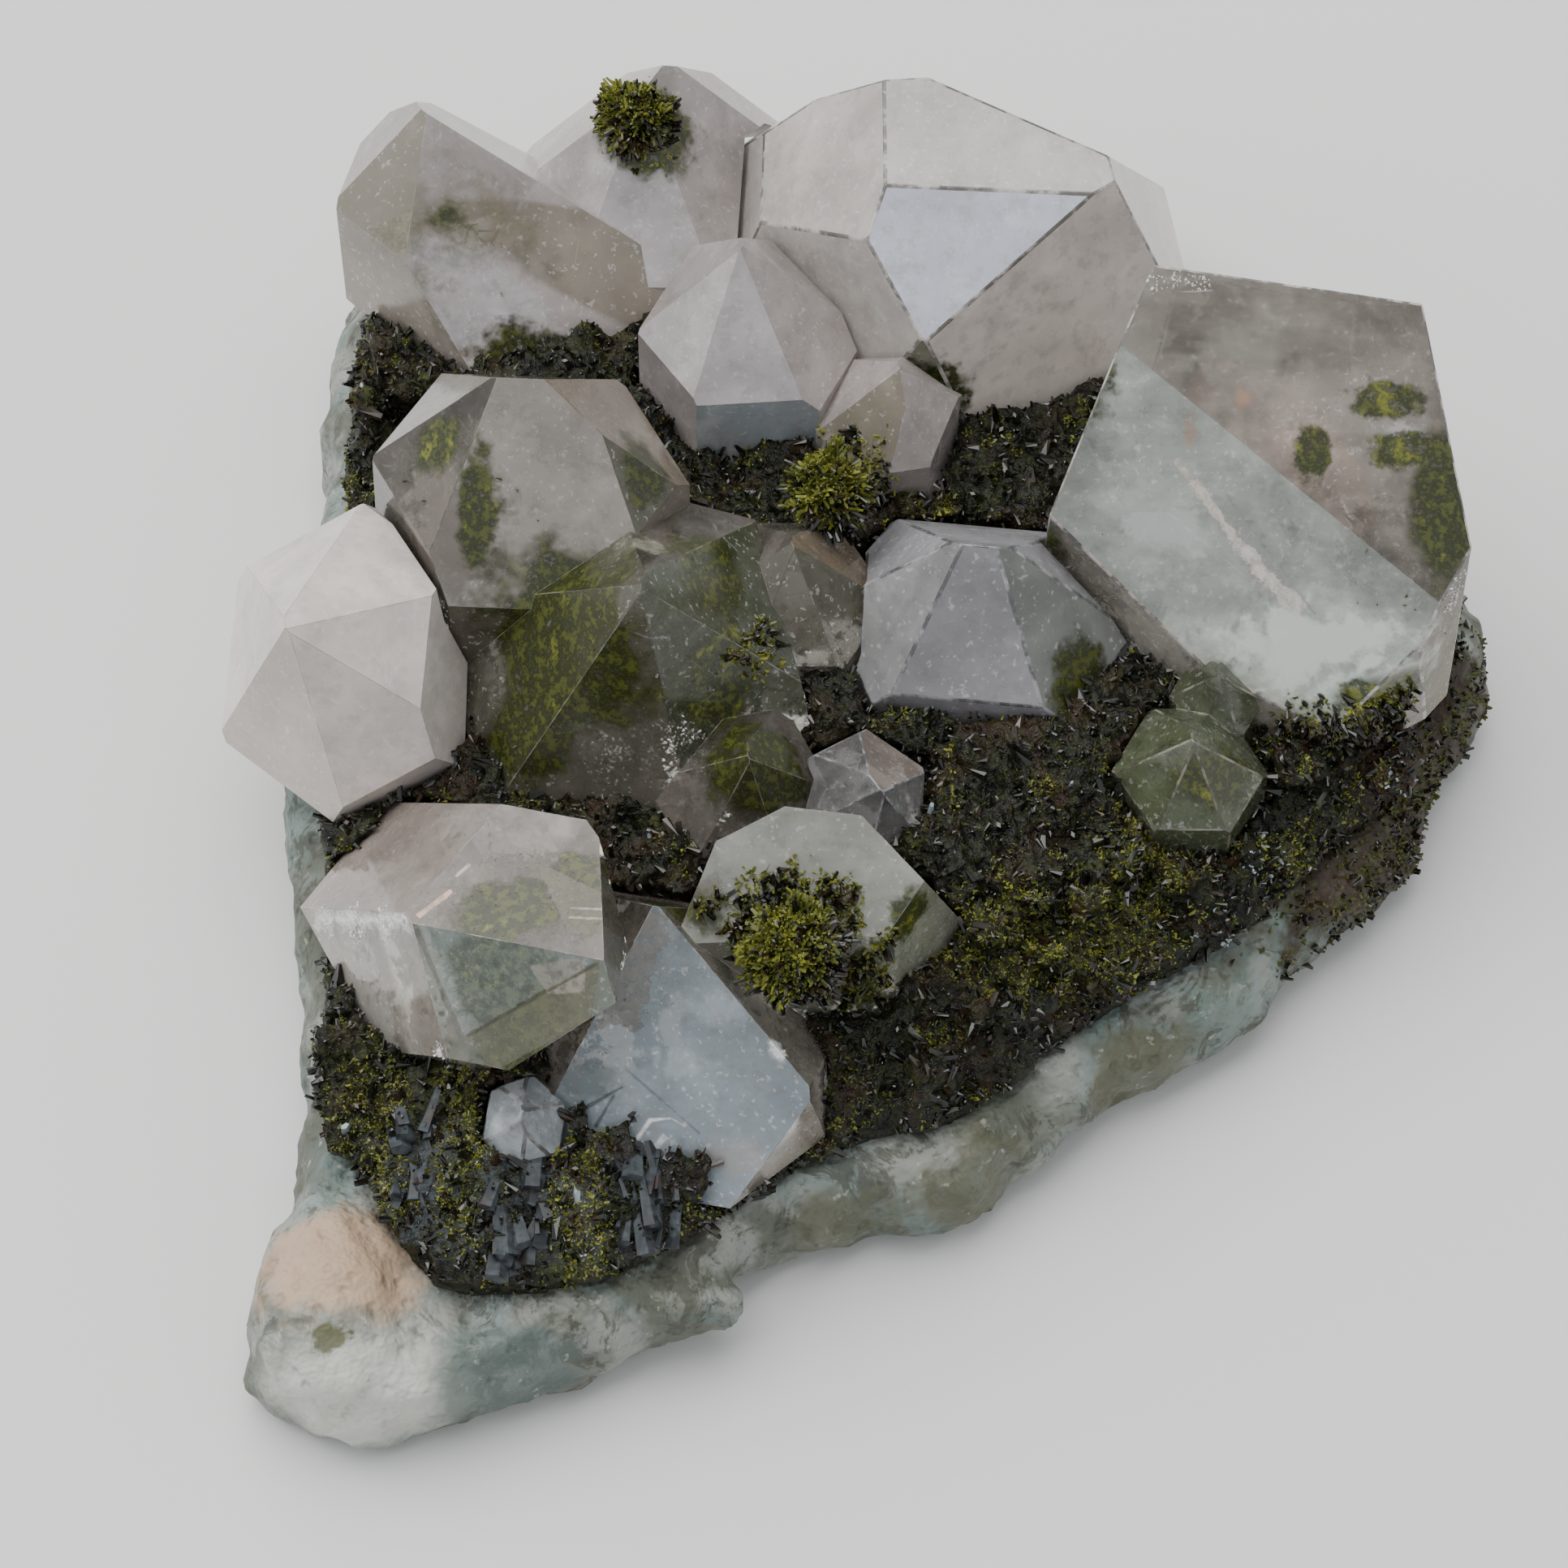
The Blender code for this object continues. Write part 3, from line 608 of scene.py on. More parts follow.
FRONT_PLATES = (
    (FERN_FACE, ((-16.4, -17.4, 17.9), (-10.5, -19.3, 19.8), (-8.2, -20.5, 20.0), (-14.3, -21.7, 15.0),
                 (-14.7, -21.6, 14.8)), (0.28, 0.33, 0.34), 0.55),
    (FERN_FACE, ((-14.1, -21.7, 15.2), (-8.2, -20.6, 19.9), (-8.6, -22.4, 17.8), (-13.2, -23.2, 14.2)),
     (0.115, 0.105, 0.06), 0.8),
    (FERN_FACE, ((-11.4, -20.0, 18.4), (-8.9, -20.3, 19.8), (-8.9, -21.5, 18.7), (-10.6, -21.2, 17.9)),
     (0.40, 0.35, 0.30), 0.6),
    *strips(FERN_FACE,
            # The dark strip along the left edge of this face is a painted shadow.
            ((-16.7, -17.4, 17.7), (-14.5, -21.7, 14.8), 0.30, (0.09, 0.085, 0.07), 0.7),
            ((-14.3, -21.8, 15.0), (-8.3, -20.7, 19.9), 0.12, (0.05, 0.05, 0.03), 0.8)),
    (TOP_FACE, ((-11.2, -14.9, 18.8), (-8.0, -17.1, 19.7), (-8.0, -19.2, 19.9), (-9.6, -18.9, 19.5)),
     (0.085, 0.080, 0.032), 0.8),
    *strips(TOP_FACE,
            ((-9.6, -17.6, 19.4), (-8.0, -17.9, 19.8), 0.10, (0.62, 0.58, 0.50), 0.8),
            ((-9.6, -18.1, 19.4), (-8.0, -18.4, 19.8), 0.08, (0.62, 0.58, 0.50), 0.7),
            # The orange strip at the ridge end is a painted glint.
            ((-16.5, -17.1, 17.7), (-15.0, -15.9, 18.1), 0.30, (0.85, 0.54, 0.40), 0.8),
            ((-14.9, -15.2, 18.2), (-14.3, -14.6, 18.4), 0.20, (0.80, 0.72, 0.66), 0.7)),
    *strips(RIDGE_FACE,
            ((-22.0, -12.0, 8.4), (-17.0, -16.9, 17.2), 1.1, FROST, 0.65, 1.5),
            ((-21.6, -12.5, 9.0), (-16.9, -17.0, 17.4), 0.35, FROST, 0.85, 0.7)),
    *strips(BLUE_FACE,
            ((-5.9, -16.4, 17.1), (-7.6, -20.4, 13.0), 1.5, (0.16, 0.14, 0.115), 0.75, 1.1),
            ((-10.2, -23.3, 9.6), (-7.3, -22.3, 11.1), 0.16, (0.035, 0.05, 0.05), 0.85),
            ((-7.2, -21.7, 11.7), (-3.85, -24.1, 9.95), 0.10, (0.13, 0.17, 0.20), 0.7),
            ((-8.6, -23.6, 9.6), (-7.7, -22.5, 10.8), 0.14, (0.05, 0.07, 0.07), 0.8),
            ((-6.7, -24.1, 9.4), (-6.1, -23.5, 10.1), 0.16, FROST, 0.9),
            ((-6.15, -23.5, 10.1), (-5.1, -23.5, 10.3), 0.16, FROST, 0.9),
            ((-5.15, -23.5, 10.3), (-4.5, -23.8, 10.1), 0.14, FROST, 0.8),
            # The short wide frost strip below is a painted glint.
            ((-5.9, -24.5, 9.2), (-5.4, -24.1, 9.7), 0.30, FROST, 0.8)),
)

QUARTZ = {
    "quartz_right": quartz(
        "quartz_right_tall", BEIGE, 0.34, veil=0.34, veil_scale=0.16, rough=0.06, cracks_and_glints=0.6, streaks=0.4,
        seed=(3, 1, 7),
        faces=((*BROAD_FACE, (0.46, 0.50, 0.46), 0.55), (*BREAK_FACE, (0.51, 0.41, 0.34), 0.30),
               (-127, 0, (0.40, 0.37, 0.32), 0.40), (-40, 3, (0.15, 0.11, 0.045), 0.6)),
        stains_and_glints=(((24.6, -0.8, 14.0), (7.5, 3.0, 4.5), (0.60, 0.66, 0.59), 0.9),
                ((17.6, 3.6, 17.6), (3.2, 2.6, 2.6), (0.50, 0.55, 0.52), 0.75),
                # The two orange-red spots are a painted glint.
                ((18.8, 6.3, 21.8), (0.4, 0.9, 1.2), ORANGE_GLINT, 0.35),
                ((21.2, 7.3, 23.0), (0.5, 0.6, 0.9), ORANGE_GLINT, 0.45),
                ((28.4, 5.6, 22.6), (1.6, 1.4, 1.4), (0.52, 0.52, 0.49), 0.7),
                ((17.5, 12.2, 26.0), (2.4, 1.2, 1.2), (0.60, 0.59, 0.56), 0.6)),
        moss=(((27.9, 6.8, 23.6), (2.0, 1.1, 1.1), 0.5), ((28.6, 5.0, 22.2), (2.0, 1.0, 1.1), 0.6),
              ((24.4, 5.1, 21.6), (1.1, 1.5, 1.5), 0.3), ((30.6, 3.0, 20.0), (1.9, 4.6, 5.0), 0.2),
              ((14.4, 10.0, 20.5), (2.0, 3.2, 3.8), 0.0), ((28.2, -2.0, 12.0), (2.6, 1.6, 1.8), 0.7),
              ((13.0, 5.5, 15.0), (1.6, 1.6, 2.0), 0.3)),
        plates=RIGHT_PLATES),
    "quartz_front": quartz(
        "quartz_front_three", BEIGE, 0.16, veil=0.16, veil_scale=0.14, rough=0.05, cracks_and_glints=0.3, streaks=0.25,
        moss_cover=0.86, seed=(9, 4, 2),
        faces=((146, 38, (0.42, 0.35, 0.31), 0.40), (*TOP_FACE, (0.41, 0.34, 0.30), 0.26),
               (*RIDGE_FACE, (0.40, 0.365, 0.32), 0.44), (*FERN_FACE, (0.22, 0.27, 0.22), 0.38),
               (*BLUE_FACE, (0.31, 0.375, 0.42), 0.50), (24, 34, (0.28, 0.27, 0.22), 0.25),
               (-80, 55, (0.42, 0.43, 0.38), 0.60), (-85, 8, (0.26, 0.27, 0.20), 0.60),
               (-41, 5, (0.40, 0.42, 0.32), 0.40), (-50, 4, (0.36, 0.32, 0.27), 0.35)),
        # The first and the fifth spots here are a painted glint.
        stains_and_glints=(((-15.6, -21.8, 13.4), (0.4, 0.4, 0.5), FROST, 0.9),
                ((-3.6, -15.7, 16.7), (1.3, 1.9, 1.4), (0.13, 0.12, 0.09), 0.85),
                ((-3.0, -20.0, 14.4), (2.0, 1.2, 1.2), (0.46, 0.53, 0.57), 0.6),
                ((-4.6, -21.8, 12.3), (1.6, 1.0, 1.0), (0.48, 0.55, 0.58), 0.6),
                ((-0.2, -21.4, 13.2), (0.6, 0.8, 0.9), (0.75, 0.78, 0.80), 0.9),
                ((-2.0, -24.9, 9.3), (2.6, 1.2, 1.2), (0.36, 0.34, 0.32), 0.6),
                ((-8.7, -22.0, 11.2), (1.8, 1.4, 1.5), (0.12, 0.15, 0.15), 0.75)),
        moss=(((-12.6, -17.5, 18.7), (3.3, 2.0, 1.6), 0.15, *TOP_FACE),
              ((-12.0, -20.4, 17.0), (3.9, 3.0, 3.2), 0.15, *FERN_FACE),
              ((-13.8, -19.4, 17.4), (2.0, 1.6, 1.8), 0.7, *FERN_FACE),
              ((-8.9, -17.4, 19.6), (1.2, 1.9, 1.0), 0.3, *TOP_FACE),
              ((-9.3, -15.4, 18.9), (1.6, 0.9, 1.0), 0.1), ((-11.0, -22.8, 15.0), (3.4, 1.0, 1.3), 0.0),
              ((-6.0, -26.3, 8.4), (1.6, 1.6, 1.8), 0.5), ((3.4, -18.4, 12.6), (1.4, 3.0, 3.4), 0.3),
              ((-4.0, -15.2, 15.2), (2.6, 2.0, 2.2), 0.0), ((5.6, -15.4, 14.8), (1.2, 1.6, 1.6), 0.3)),
        plates=FRONT_PLATES),
    "quartz_middle": quartz(
        "quartz_middle_green", BEIGE, 0.14, veil=0.16, veil_scale=0.16, rough=0.06, cracks_and_glints=0.3,
        seed=(1, 6, 3),
        faces=((-92, 42, (0.52, 0.47, 0.42), 0.50), (30, 36, (0.36, 0.28, 0.20), 0.45),
               (145, 37, (0.36, 0.34, 0.29), 0.45), (145, 47, (0.13, 0.12, 0.085), 0.50),
               (-32, 1, (0.42, 0.36, 0.30), 0.50), (-155, 33, (0.13, 0.125, 0.09), 0.55),
               (-103, 25, (0.17, 0.155, 0.125), 0.50), (-51, 28, (0.085, 0.10, 0.06), 0.55),
               (4, 40, (0.07, 0.085, 0.05), 0.65), (-92, 4, (0.15, 0.13, 0.10), 0.85),
               (-30, 38, (0.13, 0.13, 0.09), 0.6), (-150, 38, (0.22, 0.21, 0.18), 0.6),
               (-90, 38, (0.18, 0.17, 0.13), 0.6)),
        stains_and_glints=(((-6.5, 1.6, 19.0), (1.8, 1.2, 1.4), (0.36, 0.35, 0.29), 0.8),
                ((-15.4, 3.2, 18.0), (3.0, 4.0, 5.0), (0.12, 0.10, 0.085), 0.85)),
        moss=(((-14.2, 4.4, 18.4), (1.2, 3.4, 4.0), 0.1), ((-15.6, 6.6, 20.0), (2.0, 1.4, 1.8), 0.5),
              ((-6.3, 5.8, 20.0), (1.6, 2.8, 2.0), 0.2), ((-9.6, -1.6, 16.4), (5.6, 5.2, 5.2), 0.12),
              ((-3.2, 1.2, 18.0), (2.4, 2.8, 2.8), 0.1), ((-3.2, -3.2, 15.4), (2.4, 2.6, 2.8), 0.4),
              ((-12.0, -4.4, 13.0), (3.2, 2.6, 4.0), 0.0), ((-1.0, -7.0, 13.4), (3.0, 2.6, 2.8), 0.05))),
    "quartz_left": quartz(
        "quartz_left_white", WARM_WHITE, 0.88, veil=0.12, veil_scale=0.10, rough=0.20, seed=(5, 5, 1),
        faces=((-131, 8, (0.58, 0.52, 0.46), 0.85),)),
    "quartz_gray": quartz(
        "quartz_gray_frosted", (0.345, 0.34, 0.36), 0.70, veil=0.25, veil_scale=0.18, rough=0.25,
        seed=(2, 9, 4),
        faces=((-36, 38, (0.25, 0.26, 0.24), 0.60), (-156, 38, (0.40, 0.40, 0.40), 0.65)),
        moss=(((14.2, -1.6, 12.4), (1.8, 2.6, 2.6), 0.0),)),
    "quartz_back_right": quartz(
        "quartz_back_bluish", (0.66, 0.61, 0.57), 0.72, veil=0.2, veil_scale=0.10, rough=0.10, cracks_and_glints=0.2,
        seed=(8, 3, 3),
        # The lilac face is a painted reflection of the soft light; the face at azimuth -60 is painted lighter
        # to make up for its shade.
        faces=((-85, 55, LILAC_REFLECTION, 0.84), (-74, 77, (0.60, 0.57, 0.53), 0.74),
               (-60, 18, (0.90, 0.80, 0.74), 0.74), (-110, 2, (0.18, 0.19, 0.11), 0.6)),
        moss=(((8.6, 11.5, 13.5), (2.2, 2.6, 3.6), 0.0), ((7.0, 14.0, 13.0), (2.4, 1.6, 3.0), 0.0))),
    "quartz_back": quartz(
        "quartz_back_five", (0.56, 0.50, 0.48), 0.58, veil=0.25, veil_scale=0.13, rough=0.12, cracks_and_glints=0.2,
        seed=(6, 2, 8),
        faces=((-86, 6, (0.46, 0.52, 0.56), 0.74), (-74, 45, (0.32, 0.28, 0.22), 0.55),
               (-135, 4, (0.34, 0.30, 0.25), 0.6), (-140, 42, (0.30, 0.27, 0.20), 0.6),
               (-90, 44, (0.40, 0.36, 0.31), 0.55), (-86, 44, (0.60, 0.57, 0.58), 0.64),
               (-150, 41, (0.60, 0.57, 0.56), 0.64)),
        stains_and_glints=(((-15.4, 21.5, 17), (5.6, 3.4, 3.8), (0.17, 0.155, 0.075), 0.7),
                ((-19.0, 18.0, 15.5), (3.6, 4.2, 4.0), (0.18, 0.16, 0.085), 0.65)),
        moss=(((-15.4, 21.5, 17), (3.0, 1.8, 2.0), 0.0), ((-12.0, 17.5, 11.5), (3.5, 2.0, 2.6), 0.0),
              ((-6.5, 26.5, 17), (3.0, 2.2, 2.4), 0.1), ((2.0, 9.0, 12.5), (2.2, 2.0, 3.0), 0.2))),
    "quartz_small_front": quartz(
        "quartz_small_front_clear", (0.52, 0.57, 0.60), 0.42, veil=0.4, veil_scale=0.4, rough=0.05,
        cracks_and_glints=0.5),
    "quartz_small_clear": quartz(
        "quartz_small_clear_gray", (0.36, 0.35, 0.35), 0.28, veil=0.3, veil_scale=0.3, rough=0.05,
        cracks_and_glints=0.3, faces=((38, 47, (0.40, 0.33, 0.29), 0.45),)),
    "quartz_small_right": quartz(
        "quartz_small_right_green", (0.14, 0.165, 0.09), 0.30, veil=0.25, veil_scale=0.25, rough=0.05,
        cracks_and_glints=0.4, seed=(4, 4, 9), moss=(((19.8, -7.0, 12.6), (2.2, 1.8, 2.2), 0.35),)),
}


def outer_edges_only(piece):
    """Gives the bevels in the grooves between grown-together crystals the faces' own finish, so that the
    painted edge highlight keeps to the outer edges.
    """
    bm = bmesh.new()
    bm.from_mesh(piece.data)
    for face in bm.faces:
        centre = face.calc_center_median()
        lean = sum((other.normal - face.normal).dot(other.calc_center_median() - centre)
                   for edge in face.edges for other in edge.link_faces if other != face)
        if lean < 0:
            face.material_index = 0
    bm.to_mesh(piece.data)
    bm.free()


# Edge finishes: pale broken lines, partly wear and partly a painted highlight.
pale_edges = edge_wear_and_highlight("pale_edge_wear_and_highlight", (0.66, 0.62, 0.58), 0.25)
gray_edges = edge_wear_and_highlight("gray_edge_wear_and_highlight", (0.40, 0.40, 0.41), 0.35)
green_edges = edge_wear_and_highlight("green_edge_wear_and_highlight", (0.27, 0.26, 0.20), 0.35)
EDGES = {"quartz_middle": green_edges, "quartz_small_right": green_edges, "quartz_gray": gray_edges,
         "quartz_small_clear": gray_edges, "quartz_small_front": gray_edges}
for node, material in QUARTZ.items():
    crystal = carried(node, node + "_crystals")
    dressed(crystal, material, [node])
    crystal.data.materials.append(EDGES.get(node, pale_edges))
    shaped(crystal, "BEVEL", width=EDGE_WIDTH * MM, segments=3, limit_method="ANGLE",
           angle_limit=math.radians(EDGE_ANGLE), harden_normals=False, material=1)
    outer_edges_only(crystal)

crust = carried("epidote_crust", "crust_ground", 0)
roughened(crust, 0.32, ((2.4, 0.6), (1.0, 0.5), (0.5, 0.25)))
dressed(crust, crust_finish(), ["epidote_crust"])

rock = carried("matrix_rock", "rock_slab", 0)
roughened(rock, 0.40, ((5.0, 0.35), (1.6, 0.30), (0.7, 0.14)))
dressed(rock, rock_finish(), ["matrix_rock"])

# Patches of grains end this high over the table.
ROCK_FOOT = 1.2
SHORT_PRISM = prism_form(4, 0.30, 0.80)
NEEDLE = prism_form(3, 0.25, 0.25)
CRUMB = prism_form(3, 0.6, 0.6)
CHIP = prism_form(5, 0.6, 0.5)
BLADE = prism_form(5, 0.70, 0.45)


def on_top(spots, normals):
    return normals[:, 2] > 0.15


def waves_at(spots, size):
    """A slow noise with half a finer one on it."""
    return np.array([noise.noise(Vector(s) / size) + 0.5 * noise.noise(Vector(s) * 3 / size) for s in spots])


def mossy_places(spots, normals):
    """Where moss grows on the crust: in its patches, and thinly in between."""
    wave = waves_at(spots, 2.2)
    good = wave > 0.40
    for centre, radii in CRUST_MOSS:
        good |= reach_of(spots, centre, radii) + 0.7 * wave < 1.1
    return good & on_top(spots, normals)


def green_places(spots, normals):
    return on_top(spots, normals) & (waves_at(spots, 3.4) > 0.12)


def near_to(centre, radii, ragged=0.5):
    """A test that holds inside a ragged ball."""
    def test(spots, normals):
        reach = reach_of(spots, centre, radii)
        return (reach + ragged * waves_at(spots, 1.1) < 0.85) & (spots[:, 2] > ROCK_FOOT)
    return test


def grains(name, form, mesh, count, size, long, keep, material, stand=0.7):
    """Grains that stand on a surface."""
    spots, normals = spots_on(mesh, count, keep)
    axes = normals + RNG.normal(size=normals.shape) * stand
    widths = RNG.uniform(*size, len(spots)) * RNG.uniform(0.6, 1.0, len(spots))
    lengths = widths * RNG.uniform(*long, len(spots))
    spots = spots - normals * widths[:, None] * 0.4
    piece = scattered(name, form, spots, axes, lengths, widths)
    return dressed(piece, material)


dark_grains = epidote("epidote_dark", DARK_EPIDOTE, DEEP_GREEN, 0.10, 0.14, 0.4)
moss_grains = epidote("epidote_moss", DEEP_GREEN, FLUFF, 0.26, 0.40, 0.3)
gold_grains = epidote("epidote_yellow_green", FLUFF, BRIGHT_FLUFF, 0.18, 0.40, 0.3)
grains("crust_prisms_coarse", SHORT_PRISM, crust.data, 9000, (0.35, 0.80), (0.9, 2.0), on_top, dark_grains)
for index in range(2):
    grains(f"crust_prisms_fine_{index}", SHORT_PRISM, crust.data, 18000, (0.16, 0.38), (1.0, 2.2), on_top,
           dark_grains)
grains("crust_moss", CRUMB, crust.data, 70000, (0.12, 0.26), (0.8, 1.8), green_places, moss_grains, 1.0)
grains("crust_gold", CRUMB, crust.data, 245000, (0.11, 0.26), (0.8, 1.8), mossy_places, gold_grains, 1.0)
grains("rock_moss", CRUMB, rock.data, 120000, (0.14, 0.34), (0.8, 1.8),
       near_to((30, -5, 6), (9.0, 11, 6), 0.6), moss_grains, 1.0)
grains("rock_prisms", SHORT_PRISM, rock.data, 40000, (0.25, 0.55), (0.8, 1.8),
       near_to((30, -5, 6), (8.5, 10, 6), 0.8), dark_grains, 0.8)
chip_finish = quartz("quartz_chips", MILK_BLUE, 0.45, veil=0.3, veil_scale=0.3)
grains("crust_chips", CHIP, crust.data, 180, (0.3, 0.8), (0.8, 1.6), on_top, chip_finish, 1.0)

# Pale broken places on the crust: centre, half sizes, how many tries.
CRUST_LIGHTS = (
    ((20.0, -12.2, 8.0), (1.0, 1.6, 1.8), 30000), ((22.8, -8.6, 8.6), (2.2, 0.9, 1.4), 30000),
    ((28.8, -5.2, 9.6), (1.3, 1.3, 1.4), 40000),
)
for index, (centre, radii, tries) in enumerate(CRUST_LIGHTS):
    grains(f"crust_light_{index}", CHIP, crust.data, tries, (0.15, 0.42), (0.7, 1.5),
           near_to(centre, radii, 0.9), chip_finish, 0.8)

# Dark blades that lie up the front slope between its strips of moss: centre, half sizes.
BLADES = (
    ((-17.0, -24.0, 9), (0.9, 3.4, 3)), ((-12.2, -27.4, 9), (1.6, 3.2, 3)),
    ((-6.4, -27.0, 8.4), (1.6, 2.2, 3)), ((-10.8, -24.2, 10), (0.8, 1.2, 3)),
)


def blade_places(spots, normals):
    good = np.zeros(len(spots), bool)
    for centre, radii in BLADES:
        good |= reach_of(spots, centre, radii) < 1
    return good & (normals[:, 2] > 0.4)


spots, normals = spots_on(crust.data, 9000, blade_places)
axes = RNG.normal(size=spots.shape) * (0.20, 0.12, 0.16) + (0.0, 0.92, 0.05)
widths = RNG.uniform(0.5, 1.5, len(spots)) * RNG.uniform(0.7, 1.0, len(spots))
spots = spots - axes * widths[:, None] - normals * widths[:, None] * 0.10
lengths = widths * RNG.uniform(1.4, 2.6, len(spots))
blades = scattered("slope_blades", BLADE, spots, axes, lengths, widths, 0.6)
blade_finish = epidote("epidote_blades", (0.016, 0.019, 0.023), (0.060, 0.072, 0.082), 0.20, 0.45, 0.25)
dressed(blades, blade_finish)


def strip_places(spots, normals):
    """The three strips of moss down the front slope."""
    good = np.zeros(len(spots), bool)
    wave = waves_at(spots, 1.4)
    for centre, radii in SLOPE_STRIPS:
        good |= reach_of(spots, centre, radii) + 0.8 * wave < 0.95
    return good & on_top(spots, normals)


pale_moss = epidote("epidote_pale_moss", (0.15, 0.15, 0.055), (0.34, 0.33, 0.11), 0.25, 0.5, 0.3)
grains("slope_moss", CRUMB, crust.data, 120000, (0.11, 0.24), (0.8, 1.6), strip_places, pale_moss, 1.0)

crust_tree = tree_of("epidote_crust")


def seam_places(spots, normals):
    """The top millimetre of the walls around the crystals' feet."""
    kept = abs(normals[:, 2]) < 0.3
    for i in np.flatnonzero(kept):
        over = Vector((spots[i] - normals[i] * 0.35).tolist()) * MM
        over.z = 40 * MM
        hit = crust_tree.ray_cast(over, Vector((0, 0, -1)))[0]
        kept[i] = hit is not None and hit.z / MM - spots[i][2] < 0.9
    return kept


grains("crust_seams", SHORT_PRISM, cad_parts["epidote_crust"].data, 30000, (0.22, 0.50), (0.8, 1.4),
       seam_places, dark_grains, 0.9)


# Mossy epidote grown on the crystals: node, centre, half sizes, how many tries.
PATCHES = (
    ("quartz_front", (0.8, -16.4, 16.2), (4.4, 2.6, 3.0), 90000),
    ("quartz_front", (3.6, -18.0, 12.6), (2.0, 2.4, 3.4), 50000),
    ("quartz_front", (-6.0, -26.3, 8.2), (1.8, 1.8, 2.2), 40000),
    ("quartz_back", (2.6, 9.2, 13.0), (2.8, 2.8, 3.6), 60000),
    ("quartz_back", (-6.6, 26.6, 17.4), (2.2, 2.6, 2.6), 30000),
    ("quartz_right", (27.5, -2.6, 10.6), (4.5, 2.2, 2.6), 40000),
    ("quartz_middle", (-1.6, -1.2, 14.8), (1.8, 2.0, 1.8), 30000),
)
for index, (node, centre, radii, tries) in enumerate(PATCHES):
    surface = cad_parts[node].data
    grains(f"moss_green_{index}", CRUMB, surface, tries, (0.12, 0.30), (0.9, 2.0), near_to(centre, radii),
           gold_grains, 0.8)
    grains(f"moss_dark_{index}", SHORT_PRISM, surface, tries // 3, (0.25, 0.60), (1.0, 2.4),
           near_to(centre, [r * 0.85 for r in radii], 0.7), dark_grains, 0.7)


# Bright places on the crystals: wear along the left front ridge in the first three, a painted glint at most
# of the rest: node, centre, half sizes, how many tries.
SPARKS = (
    ("quartz_front", (-21.2, -12.8, 9.6), (1.0, 1.0, 0.9), 60000),
    ("quartz_front", (-19.8, -14.3, 12.1), (1.0, 1.0, 1.0), 60000),
    ("quartz_front", (-18.0, -16.1, 15.2), (0.9, 0.8, 1.2), 60000),
    ("quartz_front", (-15.6, -21.8, 13.4), (0.5, 0.5, 0.6), 60000),
    ("quartz_front", (-0.1, -21.5, 13.0), (0.3, 0.5, 0.6), 60000),
    ("quartz_middle", (-4.7, -5.4, 14.3), (0.5, 1.6, 0.9), 60000),
    ("quartz_right", (18.0, 11.3, 26.6), (1.4, 0.5, 0.6), 60000),
    ("quartz_right", (31.0, 1.0, 16.5), (0.6, 1.0, 2.0), 60000),
)


def spark_finish():
    """Nearly white glossy grains: fresh quartz chips, and a painted glint."""
    f = Finish("chipped_quartz_and_glints")
    colour = f.mixed(f.noise(2.0), (0.70, 0.68, 0.66), (0.92, 0.92, 0.92))
    return f.done(f.surface({"Base Color": colour, "Roughness": 0.06, "IOR": QUARTZ_IOR, "Coat Weight": 0.5}))


chips_and_glints = spark_finish()
for index, (node, centre, radii, tries) in enumerate(SPARKS):
    grains(f"sparks_{index}", CHIP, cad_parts[node].data, tries, (0.06, 0.20), (0.5, 1.2),
           near_to(centre, radii, 0.8), chips_and_glints, 1.2)


# Mossy epidote inside the clear crystals: which crystals, centre, half sizes, how many.
CLOUDS = (
    ("quartz_front", (-11.0, -16.4, 15.2), (4.6, 3.0, 2.8), 4200),
    ("quartz_front", (-10.0, -19.0, 13.2), (4.4, 3.0, 2.6), 3600),
    ("quartz_middle", (-8.0, -3.0, 14.5), (7.5, 6.5, 5.5), 13000),
    ("quartz_middle", (-13.5, 5.0, 16.0), (5.5, 4.5, 5.0), 5000),
    ("quartz_middle", (-1.2, -7.2, 11.5), (3.2, 3.0, 3.0), 2400),
    ("quartz_small_right", (19.3, -6.8, 11.0), (2.6, 2.4, 2.4), 1500),
    ("quartz_right", (28.5, 2.0, 14.5), (3.0, 5.0, 5.5), 3400),
    ("quartz_right", (14.5, 6.0, 14.0), (2.6, 3.5, 6.0), 1800),
    ("quartz_back", (-17.5, 19.0, 13.0), (5.5, 5.0, 4.5), 3400),
    ("quartz_front", (2.0, -14.0, 12.0), (4.0, 3.0, 3.0), 1500),
)


def cloud(index, node, centre, radii, count):
    """A mossy cloud of fine epidote needles inside a crystal."""
    spots = ball_of(centre, radii, count)
    lumpy = np.array([noise.noise(Vector(s) * 0.45) for s in spots]) > -0.12
    spots = spots[lumpy]
    spots = spots[inside(tree_of(node), spots, 0.45)]
    widths = RNG.uniform(0.12, 0.30, len(spots))
    piece = scattered(f"inclusion_{index}", NEEDLE, spots, RNG.normal(size=spots.shape),
                      widths * RNG.uniform(2, 4, len(spots)), widths)
    return dressed(piece, inclusion)


inclusion = epidote("epidote_inclusion", DEEP_GREEN, MOSS, 0.28, 0.5)
for index, (node, centre, radii, count) in enumerate(CLOUDS):
    cloud(index, node, centre, radii, count)


